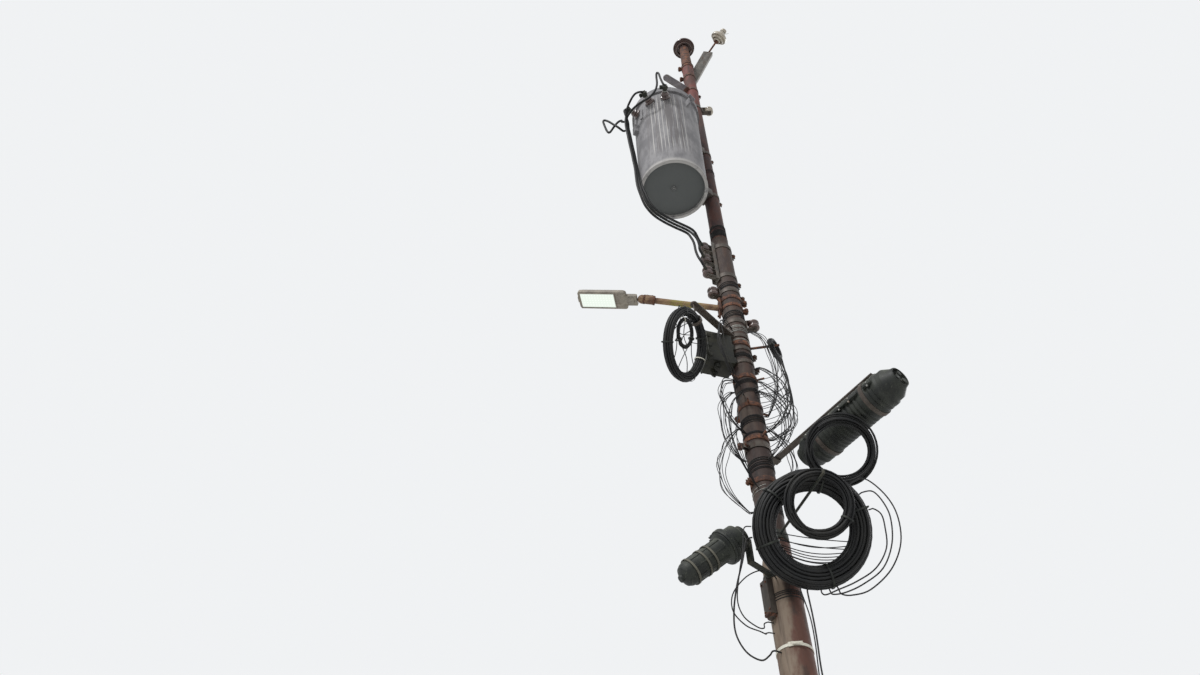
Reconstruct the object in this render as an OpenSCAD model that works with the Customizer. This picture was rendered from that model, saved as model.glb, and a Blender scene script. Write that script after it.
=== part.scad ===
// Stepped steel service pole with a transformer, a street lamp and line equipment.
// Millimetres, +Z up, +X to the right of the photographed side. The origin is the centre
// of the pole's foot at ground level. Angles are measured from +X, turning towards +Y.

/* [Pole] */
// Outer diameter of the lower tube
lower_od = 168.3; // [160:0.1:220]
// Outer diameter of the middle tube
middle_od = 139.7; // [126:0.1:150]
// Outer diameter of the upper tube
upper_od = 114.3; // [90:0.1:122]
// Wall of all three tubes
tube_wall = 4.5; // [3:0.1:5]
// Height of the lower tube's top
lower_top = 4450; // [4400:10:4470]
// Height of the middle tube's top
middle_top = 7240; // [7100:10:7600]
// Height of the upper tube's top
pole_top = 10460; // [10200:10:13000]
// Length of each tube inside the one below
lap = 300; // [150:10:450]
// Length of the swaged neck at a joint
neck_h = 110; // [60:5:160]
// Thickness of the plate that closes the foot
foot_plate_t = 12; // [6:1:25]

/* [Top insulators] */
// Diameter of the top insulator
top_insulator_d = 228; // [180:1:280]
// Height of the top insulator
top_insulator_h = 165; // [130:1:200]
// Height of the sleeve under the top insulator
sleeve_h = 450; // [200:10:500]
// Diameter of the side insulator
side_insulator_d = 176; // [140:1:220]
// Height of the side insulator
side_insulator_h = 165; // [100:1:180]
// Width of the leaning channel
bayonet_w = 100; // [70:1:130]
// Depth of the leaning channel
bayonet_d = 42; // [30:1:60]
// Length of the leaning channel
bayonet_l = 932; // [700:1:1200]
// Lean of the channel from upright
bayonet_lean = 17.6; // [8:0.1:25]
// Length of the side insulator's pin beyond its bend
pin_reach = 166; // [120:2:240]
// Lean of that pin from upright
pin_lean = 48; // [20:1:60]

/* [Transformer] */
// Diameter of the tank
tank_d = 540; // [420:5:660]
// Height of the tank
tank_h = 1200; // [900:10:1450]
// Drop from the pole's top to the tank's lower rim
tank_drop = 2860; // [2400:10:3000]
// Gap between the tank and the pole's side
tank_gap = 79; // [60:1:120]
// Direction of the tank as seen from the pole
tank_angle = 216; // [200:1:235]
// Depth of the recess under the tank
tank_recess = 32; // [15:1:60]
// Wall of the tank's lower skirt
skirt_t = 20; // [6:1:30]
// How much less the tank's radius is at its foot
tank_taper = 14; // [0:1:20]

/* [Bands and brackets] */
// Thickness of a pole band
band_t = 5; // [3:0.5:8]
// Height of a pole band
band_h = 40; // [25:1:60]
// Clearance between parts that lie on each other
fit_gap = 0.3; // [0.2:0.05:0.4]

/* [Street lamp] */
// Height at which the lamp's arm leaves the pole
lamp_z = 6446; // [6300:2:6500]
// Length of the lamp's arm
lamp_arm_l = 520; // [400:5:900]
// Diameter of the lamp's arm
lamp_arm_d = 42.4; // [33:0.1:60]
// Rise of the lamp's arm
lamp_tilt = 11; // [0:0.5:15]
// Length of the lamp's head
lamp_l = 426; // [380:1:560]
// Width of the lamp's head
lamp_w = 148; // [130:1:240]
// Thickness of the lamp's head
lamp_t = 46; // [40:1:90]
// Length of the lamp's neck
lamp_neck_l = 74; // [60:1:130]
// Width of the lamp's neck
lamp_neck_w = 84; // [70:1:120]
// Rise of the lamp's head
head_tilt = 15.5; // [0:0.5:25]
// Turn of the head on its knuckle, away from the photographed side
head_yaw = 11; // [0:0.5:20]

/* [Telephone gear] */
// Width of the terminal box
box_w = 130; // [110:1:170]
// Depth of the terminal box, away from the pole
box_d = 172; // [120:1:200]
// Height of the terminal box
box_h = 270; // [220:1:340]
// Length of the in-line closure
closure_l = 718; // [600:1:860]
// Diameter of the in-line closure
closure_d = 196; // [160:1:230]
// Length of the dome closure
dome_l = 385; // [320:1:460]
// Diameter of the dome closure's shell
dome_d = 124; // [100:1:150]
// Diameter of the dome closure's flange
dome_flange_d = 184; // [160:1:220]
// Radius of the big coil at the middle of its turns
big_coil_r = 233; // [200:1:260]
// Thickness of the big coil's bundle
big_coil_t = 120; // [70:1:130]

/* [Hidden] */
$fn = 64;

lower_r = lower_od / 2;
middle_r = middle_od / 2;
upper_r = upper_od / 2;
tank_r = tank_d / 2;
tank_z = pole_top - tank_drop;
tank_top = tank_z + tank_h;
tank_offset = upper_r + tank_gap + tank_r;
lid_h = 46;
lid_flange_h = 14;
lid_band_h = 70;
lid_band_t = 16;
tank_foot_r = tank_r - tank_taper;
lead_d = 18;
bushing_boss = 6;
lv_angles = [206, 237, 265];
lv_z = tank_top - 160;
hanger_zs = [tank_z + 950, tank_z + 250];
insulator_bore = 36;
pin_d = 30;
sleeve_flange_h = 12;
bolt_d = 16;
spool_d = 76;
spool_h = 70;
rack_angle = 205;
rack_l = 450;
rack_z = middle_top - 90;
box_angle = 195;
box_z = 5780;
closure_start = [228, -100, 4977];
closure_heading = -56.7;
dome_start = [-220, -200, 4360];
dome_heading = 180;
dome_dip = 39;
big_coil_c = [128, -280, 4355];
inner_coil_at = [20, 102.3];
upper_coil_c = [332.6, -377.2, 4773.8];
coil_lean = 120;
big_coil_top = big_coil_c + big_coil_r * [0, cos(coil_lean), sin(coil_lean)];
inner_coil_r = 145;
inner_coil_t = 56;
upper_coil_r = 158;
upper_coil_t = 64;
wheel_c = [-384, -280, 5730];
wheel_turn = [0, 64.5, 154.5];
wheel_r = 200;
wheel_t = 66;
wheel_top = wheel_c + wheel_r * [
    -cos(wheel_turn[1]) * cos(wheel_turn[2]), -cos(wheel_turn[1]) * sin(wheel_turn[2]), sin(wheel_turn[1])
];
inner_wheel_r = 82;
inner_wheel_t = 36;
inner_wheel_off = wheel_r - wheel_t / 2 - inner_wheel_r - inner_wheel_t / 2 - fit_gap;
inner_wheel_at = inner_wheel_off * [cos(137), sin(137), 0];
right_coil_c = [219, -38, 5970];
right_coil_r = 62;
right_coil_t = 44;
right_bar_t = 12;
hook_zs = [5690, 5440, 5172, 4860];
strap_xs = [170, 520];
strap_w = 24;
dome_strap_xs = [190, 236, 310];
riser_z = 4030;
pole_strap_z = 3850;
bayonet_y = upper_r + 2 * fit_gap + band_t;
bayonet_foot = [-10, bayonet_y, pole_top - 310];
pin_heading = -42.7;
service_z = pole_top - 1000;
service_angle = 0;
service_reach = 128;
rack_back = middle_r + 2 * fit_gap + band_t;
rack_reach = rack_back + 74;
spool_pitch = 150;
left_z = 6570;
left_angle = 197;
right_z = 6230;
right_angle = 352;
knob_reach = middle_r + 52;
lamp_root = middle_r + band_t + 18;
clamp_l = 120;
knuckle_x = lamp_arm_l + clamp_l - 120;
knuckle_r = lamp_arm_d / 2 + 10;
lens_l = 248;
lens_w = 120;
lens_t = 8;
box_near = middle_r + 2 * fit_gap + band_t;

// Steel colours
red_paint = [0.42, 0.20, 0.15];
rust = [0.36, 0.22, 0.16];
zinc = [0.60, 0.61, 0.60];
tank_grey = [0.72, 0.73, 0.72];
black = [0.09, 0.09, 0.10];
brown_glaze = [0.26, 0.20, 0.18];
pale_glaze = [0.70, 0.68, 0.62];

// Routes of the leads and wires, point by point
lead_a = [
    [-360, -598.1, 8640], [-362, -620, 8640], [-377, -630, 8664], [-391, -634, 8750],
    [-401, -632, 8850], [-416, -622, 8877], [-420, -614, 8810], [-419, -608, 8743],
    [-423, -602, 8678], [-437, -594, 8612], [-462, -584, 8555], [-491, -570, 8521],
    [-525, -548, 8518], [-560, -522, 8525], [-592, -492, 8533], [-619, -462, 8540],
    [-640, -434, 8540], [-667, -400, 8514], [-671, -380, 8481], [-669, -360, 8413],
    [-660, -350, 8326], [-652, -340, 8241], [-642, -327, 8146], [-629, -312, 8041],
    [-619, -298, 7936], [-609, -296, 7812], [-604, -324, 7631], [-596, -348, 7471],
    [-577, -338, 7379], [-546, -310, 7285], [-492, -275, 7221], [-416, -240, 7183],
    [-339, -215, 7151], [-256, -190, 7118], [-218, -186, 7064], [-196, -176, 7020],
    [-186, -162, 6975], [-183, -145, 6932], [-150.5, -89.6, 6925]
];
lead_b = [
    [-525.1, -541.3, 8640], [-537.1, -559.7, 8640], [-566, -572, 8618], [-598, -564, 8609],
    [-621, -548, 8590], [-642, -520, 8567], [-660, -488, 8545], [-672, -452, 8528],
    [-676.6, -416, 8505.5], [-681.6, -396.4, 8474.7], [-681.6, -375.7, 8409.1],
    [-673.5, -365.1, 8322.9], [-665.5, -355.1, 8237.7], [-655.7, -341.8, 8142.4],
    [-642.6, -326.9, 8037.4], [-632.6, -313.2, 7933.8], [-622.6, -311.3, 7812.6],
    [-620.6, -336, 7632.2], [-615.3, -354.8, 7469.3], [-596.8, -338.6, 7373.6],
    [-564.1, -303.5, 7277.9], [-505.3, -261.3, 7213.5], [-426.1, -224.5, 7174.1],
    [-347.8, -199, 7141.7], [-264.6, -173.9, 7108.6], [-238, -172, 7050],
    [-222, -166, 6990], [-216, -160, 6900], [-205, -156, 6835], [-185, -148, 6782],
    [-150.5, -89.6, 6775]
];
lead_c = [
    [-652.9, -396.9, 8640], [-672.7, -406.5, 8640], [-690, -408, 8612], [-680, -394, 8560],
    [-660.4, -363.6, 8487.3], [-656.4, -344.3, 8416.9], [-646.5, -334.9, 8329.1],
    [-638.5, -324.9, 8244.3], [-628.3, -312.2, 8149.6], [-615.4, -297.1, 8044.6],
    [-605.4, -282.8, 7938.2], [-595.4, -280.7, 7811.4], [-587.4, -312, 7629.8],
    [-576.7, -341.2, 7472.7], [-557.2, -337.4, 7384.4], [-527.9, -316.5, 7292.1],
    [-478.7, -288.7, 7228.5], [-405.9, -255.5, 7191.9], [-330.2, -231, 7160.3],
    [-247.4, -206.1, 7127.4], [-208, -182, 7108], [-182, -144, 7080], [-150.5, -89.6, 7075]
];
spare_loop = [
    [-691.8, -387.3, 8450.9], [-712.4, -387.3, 8450.9], [-716, -392, 8464],
    [-745, -386, 8447], [-778, -378, 8381], [-807, -372, 8307], [-823, -370, 8294],
    [-839, -368, 8336], [-858, -368, 8433], [-866, -370, 8491], [-853, -374, 8505],
    [-819, -382, 8463], [-782, -392, 8392], [-750, -400, 8333], [-704.2, -365.9, 8330.1],
    [-684.6, -365.9, 8330.1]
];
loose_turn_a = [
    [329.9, -368.2, 4545.2], [344.5, -369.8, 4561.6], [422.9, -352.1, 4603.4],
    [500, -340, 4520], [535, -330, 4400], [520, -310, 4250], [450, -280, 4120],
    [340, -250, 4030], [262, -215, 4024], [223, -184.9, 4049.6], [216.3, -176.4, 4082.5],
    [211, -174.3, 4103.7]
];
loose_turn_b = [
    [369.7, -348.1, 4503.8], [387.4, -349.2, 4516.9], [441.5, -356, 4518.7],
    [478, -354, 4450], [492, -345, 4360], [470, -325, 4230], [405, -300, 4110],
    [310, -265, 4050], [232, -222, 4034], [184.6, -180.8, 4051.5], [176.1, -171.8, 4074.4],
    [173.2, -170, 4096.1]
];
loose_turn_c = [
    [407.9, -321.3, 4432.6], [428.9, -323.6, 4438.9], [460.2, -326.4, 4403.3],
    [462, -322, 4330], [446, -305, 4220], [382, -272, 4130], [288, -236, 4082],
    [204, -204, 4060], [152.1, -174.6, 4053.5], [136.8, -166, 4070.9],
    [136.3, -165.4, 4092.9]
];
drop_loop_a = [
    [-160.6, -246.6, 4325.2], [-172.3, -243.3, 4325.1], [-196, -262, 4296],
    [-212, -290, 4240], [-232, -290, 4160], [-268, -250, 4050], [-290, -210, 3940],
    [-292, -200, 3834], [-256, -196, 3748], [-194, -180, 3718], [-140, -108, 3784],
    [-116, -73, 3826], [-93.8, -58.6, 3836], [-71.7, -44.8, 3836]
];
drop_loop_b = [
    [-165.3, -282.9, 4362.4], [-187.3, -282.8, 4363.1], [-202.4, -292, 4346.2],
    [-214, -318, 4300], [-232, -326, 4190], [-258, -304, 4080], [-276, -262, 3970],
    [-252, -226, 3906], [-186, -164, 3892], [-142, -92, 3932], [-128, -46, 3984],
    [-104.8, -35.3, 4000], [-80.1, -27, 4000]
];
drop_loop_c = [
    [-41.9, -73.4, 4216], [-54.8, -96, 4216], [-86, -134, 4210], [-150, -186, 4176],
    [-224, -216, 4112], [-288, -226, 4020], [-296, -228, 3930], [-246, -214, 3868],
    [-176, -160, 3872], [-136, -84, 3906], [-128, -34, 3940], [-107.4, -26.2, 3950],
    [-82.1, -20, 3950]
];
tail_a = [
    [74.4, -167.4, 4097.2], [70.8, -168, 4075.5], [76.3, -152.5, 3955.6], [75, -146, 3840],
    [70, -136, 3700], [74, -128, 3560], [86, -112, 3420], [104, -86, 3310],
    [112, -67, 3256], [95.7, -55.3, 3240], [73.2, -42.3, 3240]
];
tail_b = [
    [45, -171.7, 4103.6], [39.5, -172.8, 4082.3], [64.9, -146.7, 3955.6], [69, -130, 3840],
    [62, -118, 3710], [56, -116, 3600], [54, -118, 3480], [58, -118, 3390],
    [59, -110, 3346], [51.9, -97.6, 3330], [39.7, -74.7, 3330]
];
jumpers_left = [
    [[-35.1, -60.8, 6130], [-48.1, -83.4, 6130], [-120, -190, 6050], [-150, -220, 5880],
     [-130, -190, 5700], [-61.9, -73.7, 5600], [-45.2, -53.8, 5600]],
    [[-54.6, -44.2, 5642], [-74.8, -60.6, 5642], [-150, -130, 5560], [-180, -150, 5400],
     [-140, -120, 5270], [-74.8, -60.6, 5215], [-54.6, -44.2, 5215]],
    [[-69.8, 8, 5615], [-95.6, 10.9, 5615], [-160, -20, 5500], [-180, -35, 5290],
     [-150, -30, 5110], [-95.6, -10.9, 5038], [-69.8, -8, 5038]],
    [[-35.1, -60.8, 5515], [-48.1, -83.4, 5515], [-110, -160, 5350], [-160, -195, 5130],
     [-150, -185, 4950], [-61.9, -73.7, 4808], [-45.2, -53.8, 4808]],
    [[-65.6, 25.2, 5325], [-89.9, 34.5, 5325], [-170, 30, 5180], [-215, 5, 4990],
     [-190, 0, 4820], [-89.9, 34.5, 4704], [-65.6, 25.2, 4704]]
];
jumpers_right = [
    [[59.6, -37.2, 6130], [81.6, -51, 6130], [135, -98, 6000], [160, -112, 5750],
     [150, -100, 5540], [95.6, -10.9, 5390], [69.8, -8, 5390]],
    [[65.6, -25.2, 5790], [89.9, -34.5, 5790], [160, -84, 5640], [190, -100, 5430],
     [150, -100, 5290], [74.8, -60.6, 5222], [54.6, -44.2, 5222]],
    [[69.8, 8, 5712], [95.6, 10.9, 5712], [180, 10, 5600], [235, -10, 5430],
     [215, 0, 5300], [95.6, 10.9, 5216], [69.8, 8, 5216]],
    [[35.1, -60.8, 5532], [48.1, -83.4, 5532], [115, -155, 5380], [150, -190, 5200],
     [125, -180, 5060], [48.1, -83.4, 4992], [35.1, -60.8, 4992]],
    [[59.9, 36.7, 5362], [82.1, 50.3, 5362], [150, 60, 5270], [198, 50, 5130],
     [184, 45, 4990], [90, 34, 4904], [65.7, 24.8, 4904]]
];

// Places things around the pole: at height z, in direction angle, at distance r
module at_pole(z, angle, r = 0) {
    translate([0, 0, z])
        rotate([0, 0, angle])
            translate([r, 0, 0])
                children();
}

module ring(r_in, r_out, h) {
    difference() {
        cylinder(r = r_out, h = h);
        translate([0, 0, -1])
            cylinder(r = r_in, h = h + 2);
    }
}

// A pipe along +X from x0 to x1
module bar_x(d, x0, x1) {
    translate([x0, 0, 0])
        rotate([0, 90, 0])
            cylinder(d = d, h = x1 - x0);
}

// Two-bolt pole band whose lugs point along its own +X
module band(r, h = band_h, lug = 34) {
    inner = r + fit_gap;
    translate([0, 0, -h / 2]) {
        difference() {
            union() {
                cylinder(r = inner + band_t, h = h);
                translate([0, -band_t - 6, 0])
                    cube([inner + band_t + lug, 2 * band_t + 12, h]);
            }
            translate([0, 0, -1])
                cylinder(r = inner, h = h + 2);
            translate([0, -6, -1])
                cube([inner + band_t + lug + 1, 12, h + 2]);
        }
        translate([inner + band_t + lug * 0.55, -band_t - 18, h / 2])
            rotate([-90, 0, 0])
                cylinder(d = bolt_d, h = 2 * band_t + 36);
    }
}

// Functions that sweep a round wire through a route's points, straight at both ends
function unit(v) = v / norm(v);
function blend(p0, p1, p2, p3, t) =
    0.5 * (2 * p1 + (p2 - p0) * t + (2 * p0 - 5 * p1 + 4 * p2 - p3) * t * t
        + (3 * p1 - p0 - 3 * p2 + p3) * t * t * t);
function smooth(route, steps) = let (n = len(route)) [
    route[0],
    for (i = [1 : n - 3], k = [0 : steps - 1])
        blend(route[i - 1], route[i], route[i + 1], route[i + 2], k / steps),
    route[n - 2],
    route[n - 1]
];
function heading(line, i) = unit(line[min(i + 1, len(line) - 1)] - line[max(i - 1, 0)]);
function ring_at(line, i, r, sides, side_axis) =
    let (along = heading(line, i), a = unit(cross(along, side_axis)), b = cross(along, a))
    [for (k = [0 : sides - 1]) line[i] + r * (cos(360 * k / sides) * a + sin(360 * k / sides) * b)];

module wire(route, d, steps = 4, sides = 8, side_axis = [0, 1, 0]) {
    line = smooth(route, steps);
    last = len(line) - 1;
    polyhedron(
        points = [for (i = [0 : last]) each ring_at(line, i, d / 2, sides, side_axis)],
        faces = concat(
            [[for (k = [0 : sides - 1]) k]],
            [for (i = [0 : last - 1], k = [0 : sides - 1])
                [i * sides + k, (i + 1) * sides + k,
                 (i + 1) * sides + (k + 1) % sides, i * sides + (k + 1) % sides]],
            [[for (k = [sides - 1 : -1 : 0]) last * sides + k]]
        )
    );
}

// A tube that stands in the one below, with a neck swaged down onto the one above
module pole_tube(r, z0, z1, next_r, closed_foot) {
    neck_r = next_r + fit_gap + tube_wall;
    color(rust)
    union() {
        rotate_extrude()
            polygon([
                [r - tube_wall, z0], [r, z0], [r, z1 - neck_h], [neck_r, z1 - neck_h * 0.6],
                [neck_r, z1], [next_r + fit_gap, z1], [next_r + fit_gap, z1 - neck_h * 0.65],
                [r - tube_wall, z1 - neck_h * 1.05]
            ]);
        if (closed_foot)
            translate([0, 0, z0])
                cylinder(r = r - tube_wall / 2, h = foot_plate_t);
    }
}

module pole_lower_tube() {
    pole_tube(lower_r, 0, lower_top, middle_r, true);
}

module pole_middle_tube() {
    pole_tube(middle_r, lower_top - lap, middle_top, upper_r, false);
}

module pole_upper_tube() {
    color(red_paint)
        translate([0, 0, middle_top - lap])
            ring(upper_r - tube_wall, upper_r, pole_top - middle_top + lap);
}

// Cap plate, tapered sleeve and threaded pin on the pole's top
module pole_top_pin() {
    pin_top = sleeve_flange_h + sleeve_h + top_insulator_h * 0.62;
    color(rust)
        translate([0, 0, pole_top])
            rotate_extrude()
                polygon([
                    [0, 0], [upper_r + 4, 0], [upper_r + 4, sleeve_flange_h],
                    [upper_r - 3, sleeve_flange_h], [upper_r - 12, sleeve_flange_h + sleeve_h],
                    [pin_d / 2, sleeve_flange_h + sleeve_h], [pin_d / 2, pin_top], [0, pin_top]
                ]);
}

// Pin insulator with two skirts, standing on its lower rim at z = 0
module pin_insulator(d, h) {
    r = d / 2;
    rotate_extrude()
        polygon([
            [insulator_bore / 2, h * 0.66], [insulator_bore / 2, h * 0.06],
            [r * 0.36, 0], [r * 0.42, h * 0.04], [r * 0.44, h * 0.30],
            [r * 0.58, h * 0.30], [r * 0.62, h * 0.10], [r * 0.70, h * 0.10],
            [r * 0.76, h * 0.32], [r * 0.88, h * 0.30], [r * 0.97, h * 0.22],
            [r, h * 0.30], [r * 0.94, h * 0.44], [r * 0.62, h * 0.60],
            [r * 0.40, h * 0.68], [r * 0.34, h * 0.78], [r * 0.40, h * 0.84],
            [r * 0.40, h * 0.94], [r * 0.32, h], [0, h], [0, h * 0.66]
        ]);
}

module top_insulator() {
    color(brown_glaze)
        translate([0, 0, pole_top + sleeve_flange_h + sleeve_h + fit_gap])
            pin_insulator(top_insulator_d, top_insulator_h);
}

// The channel leans to the right, behind the pole's two bands
module on_bayonet() {
    translate(bayonet_foot)
        rotate([0, bayonet_lean, 0])
            children();
}

module bayonet_channel() {
    t = 6;
    color(zinc)
        on_bayonet()
            difference() {
                translate([-bayonet_w / 2, 0, 0])
                    cube([bayonet_w, bayonet_d, bayonet_l]);
                translate([-bayonet_w / 2 + t, t, -1])
                    cube([bayonet_w - 2 * t, bayonet_d, bayonet_l + 2]);
                translate([0, -1, bayonet_l - 20])
                    rotate([-90, 0, 0])
                        cylinder(d = 18, h = t + 2);
            }
}

module bayonet_band_upper() {
    color(rust)
        at_pole(pole_top - 35, 180)
            band(upper_r);
}

module bayonet_band_lower() {
    color(rust)
        at_pole(pole_top - 285, 180)
            band(upper_r);
}

// From the bend just above the channel's end, along the pin's upper half
module on_side_pin() {
    on_bayonet()
        translate([0, 21 + fit_gap, bayonet_l + 12])
            rotate([0, -bayonet_lean, 0])
                rotate([0, pin_lean, pin_heading])
                    children();
}

// Pin with its foot plate on the channel's web, bent outwards above the channel
module side_insulator_pin() {
    t = 6;
    color(rust)
        union() {
            on_bayonet()
                translate([0, t + fit_gap, bayonet_l - 90]) {
                    translate([-30, 0, 0])
                        cube([60, 10, 80]);
                    translate([0, 15, 0])
                        cylinder(d = 20, h = 102);
                }
            on_side_pin() {
                sphere(d = 22);
                cylinder(d = 20, h = pin_reach);
                translate([0, 0, pin_reach - 8])
                    cylinder(d = 60, h = 8);
                translate([0, 0, pin_reach - 1])
                    cylinder(d = pin_d, h = side_insulator_h * 0.6 + 1);
            }
        }
}

module side_insulator() {
    color(pale_glaze)
        on_side_pin()
            translate([0, 0, pin_reach + fit_gap])
                pin_insulator(side_insulator_d, side_insulator_h);
}

// Flat arm with a round end, on a band of its own
module equipment_arm() {
    reach = 300;
    w = 66;
    color(zinc)
        at_pole(pole_top - 610, 212) {
            rotate([0, 0, 180])
                band(upper_r);
            translate([upper_r + fit_gap + 1, -w / 2, -6])
                cube([reach - upper_r, w, 12]);
            translate([reach, 0, -6])
                cylinder(d = w, h = 12);
            translate([upper_r + fit_gap + 1, -w / 2, -20])
                cube([8, w, 40]);
        }
}

module at_tank(z) {
    at_pole(z, tank_angle, tank_offset)
        rotate([0, 0, -tank_angle])
            children();
}

module transformer_tank() {
    floor_z = tank_z + tank_recess;
    color(tank_grey)
        at_tank(0)
            union() {
                difference() {
                    translate([0, 0, tank_z])
                        cylinder(r1 = tank_foot_r, r2 = tank_r, h = tank_h, $fn = 96);
                    translate([0, 0, tank_z - 1])
                        cylinder(r = tank_foot_r - skirt_t, h = tank_recess + 1, $fn = 96);
                }
                translate([0, 0, floor_z - 9])
                    cylinder(d = 34, h = 12);
                for (a = lv_angles)
                    translate([0, 0, lv_z])
                        rotate([0, 0, a])
                            bar_x(92, tank_r - 20, tank_r + bushing_boss);
                for (a = [tank_angle - 90, tank_angle + 90])
                    rotate([0, 0, a])
                        translate([tank_foot_r, -8, tank_top - 210])
                            cube([tank_taper + 40, 16, 90]);
                rotate([0, 0, 198])
                    translate([tank_foot_r, -25, tank_top - 430])
                        cube([tank_taper + 30, 50, 110]);
            }
}

module transformer_cover() {
    color(tank_grey)
        at_tank(tank_top)
            union() {
                rotate_extrude($fn = 96)
                    polygon([
                        [0, 0], [tank_r, 0], [tank_r, lid_flange_h], [tank_r - 14, lid_flange_h + 6],
                        [tank_r * 0.6, lid_h - 6], [0, lid_h]
                    ]);
                for (a = [tank_angle - 35, tank_angle + 145])
                    rotate([0, 0, a])
                        translate([tank_r * 0.5, 0, 10])
                            cylinder(d = 136, h = lid_h);
            }
}

module cover_clamp_band() {
    color(zinc)
        at_tank(tank_top + 24 - lid_band_h) {
            difference() {
                ring(tank_r + fit_gap, tank_r + lid_band_t, lid_band_h);
                rotate([0, 0, tank_angle + 100])
                    translate([tank_r - 5, -5, -1])
                        cube([lid_band_t + 10, 10, lid_band_h + 2]);
            }
            rotate([0, 0, tank_angle + 100])
                translate([tank_r + 3, -34, lid_band_h / 2 - 9])
                    cube([lid_band_t + 18, 68, 18]);
        }
}

// Tall shed bushing standing on z = 0
module hv_bushing() {
    union() {
        cylinder(d = 118, h = 16);
        cylinder(d1 = 84, d2 = 60, h = 300);
        for (i = [0 : 4])
            translate([0, 0, 50 + 46 * i])
                cylinder(d1 = 122 - 6 * i, d2 = 74, h = 20);
        translate([0, 0, 300])
            cylinder(d = 50, h = 26);
        translate([0, 0, 320])
            cylinder(d = 18, h = 50);
    }
}

module hv_bushings() {
    color(brown_glaze)
        at_tank(tank_top + 10 + lid_h + fit_gap)
            for (a = [tank_angle - 35, tank_angle + 145])
                rotate([0, 0, a])
                    translate([tank_r * 0.5, 0, 0])
                        hv_bushing();
}

module lv_bushings() {
    seat = tank_r + bushing_boss + fit_gap;
    color(brown_glaze)
        at_tank(lv_z)
            for (a = lv_angles)
                rotate([0, 0, a]) {
                    bar_x(84, seat, seat + 14);
                    bar_x(58, seat + 13, seat + 50);
                    bar_x(70, seat + 26, seat + 36);
                    bar_x(22, seat + 49, seat + 84);
                }
}

// A hanger: pole band, two side plates and a curved pad at the tank
module hanger(z) {
    near = upper_r + fit_gap + band_t - 1;
    far = tank_offset - tank_r - fit_gap;
    pad = tank_taper + 20;
    w = 120;
    h = 86;
    color(zinc)
        at_pole(z, tank_angle) {
            rotate([0, 0, 180])
                band(upper_r);
            difference() {
                translate([near - 20, -w / 2, -h / 2])
                    cube([far - near + 20 + pad, w, h]);
                translate([near + 8, -w / 2 + 10, -h / 2 - 1])
                    cube([far - near - 16, w - 20, h + 2]);
                translate([0, 0, -h])
                    cylinder(r = upper_r + fit_gap, h = 2 * h);
                translate([tank_offset, 0, tank_z - z])
                    cylinder(r1 = tank_foot_r + fit_gap, r2 = tank_r + fit_gap, h = tank_h, $fn = 96);
            }
        }
}

module tank_hanger_upper() {
    hanger(hanger_zs[0]);
}

module tank_hanger_lower() {
    hanger(hanger_zs[1]);
}

module transformer_leads() {
    color(black) {
        wire(lead_a, lead_d, 4, 8, [0.94, 0.34, 0]);
        wire(lead_b, lead_d, 4, 8, [0.94, 0.34, 0]);
        wire(lead_c, lead_d, 4, 8, [0.94, 0.34, 0]);
    }
}

module spare_lead_loop() {
    color(black)
        wire(spare_loop, 18, 4, 8, [0.2, 1, 0]);
}

// Spool insulator with its axis upright, centred on the origin
module spool() {
    difference() {
        translate([0, 0, -spool_h / 2])
            rotate_extrude()
                polygon([
                    [0, 0], [spool_d * 0.36, 0], [spool_d / 2, spool_h * 0.14],
                    [spool_d / 2, spool_h * 0.28], [spool_d * 0.33, spool_h * 0.42],
                    [spool_d * 0.33, spool_h * 0.58], [spool_d / 2, spool_h * 0.72],
                    [spool_d / 2, spool_h * 0.86], [spool_d * 0.36, spool_h], [0, spool_h]
                ]);
        translate([0, 0, -spool_h])
            cylinder(d = bolt_d + 2 * fit_gap, h = 2 * spool_h);
    }
}

// Band with a forked strap and an upright pin, its fork along +X
module clevis(r, reach) {
    strap_w = 40;
    strap_t = 6;
    half = spool_h / 2 + fit_gap;
    rotate([0, 0, 180])
        band(r);
    for (s = [-1, 1])
        translate([r + band_t - 1, -strap_w / 2, s * (half + strap_t / 2) - strap_t / 2])
            cube([reach + 18 - r - band_t, strap_w, strap_t]);
    translate([r + fit_gap + 1, -strap_w / 2, -half - strap_t])
        cube([band_t + 5, strap_w, 2 * (half + strap_t)]);
    translate([reach, 0, -half - strap_t - 14])
        cylinder(d = bolt_d, h = 2 * (half + strap_t + 14));
}

module service_clevis() {
    color(zinc)
        at_pole(service_z, service_angle)
            clevis(upper_r, service_reach);
}

module service_spool() {
    color(pale_glaze)
        at_pole(service_z, service_angle, service_reach)
            spool();
}

// Secondary rack: an upright channel with forked arms, a long pin and three spools
module rack_channel() {
    w = 64;
    t = 5;
    arm_t = 6;
    half = spool_h / 2 + fit_gap;
    color(zinc)
        at_pole(rack_z, rack_angle)
            translate([0, 0, -rack_l]) {
                difference() {
                    translate([rack_back, -w / 2, 0])
                        cube([26, w, rack_l]);
                    translate([rack_back + t, -w / 2 + t, -1])
                        cube([26, w - 2 * t, rack_l + 2]);
                }
                for (i = [0 : 2], s = [-1, 1]) {
                    middle = 75 + spool_pitch * i + s * (half + arm_t / 2);
                    translate([rack_back + 1, -20, middle - arm_t / 2])
                        cube([rack_reach - rack_back + 18, 40, arm_t]);
                }
                translate([rack_reach, 0, 14])
                    cylinder(d = bolt_d, h = rack_l - 28);
            }
}

module rack_spools() {
    color(pale_glaze)
        at_pole(rack_z, rack_angle, rack_reach)
            for (i = [0 : 2])
                translate([0, 0, -rack_l + 75 + spool_pitch * i])
                    spool();
}

module rack_bands() {
    color(zinc)
        for (z = [rack_z - 45, rack_z - rack_l + 45])
            at_pole(z, rack_angle + 180)
                band(middle_r);
}

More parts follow.
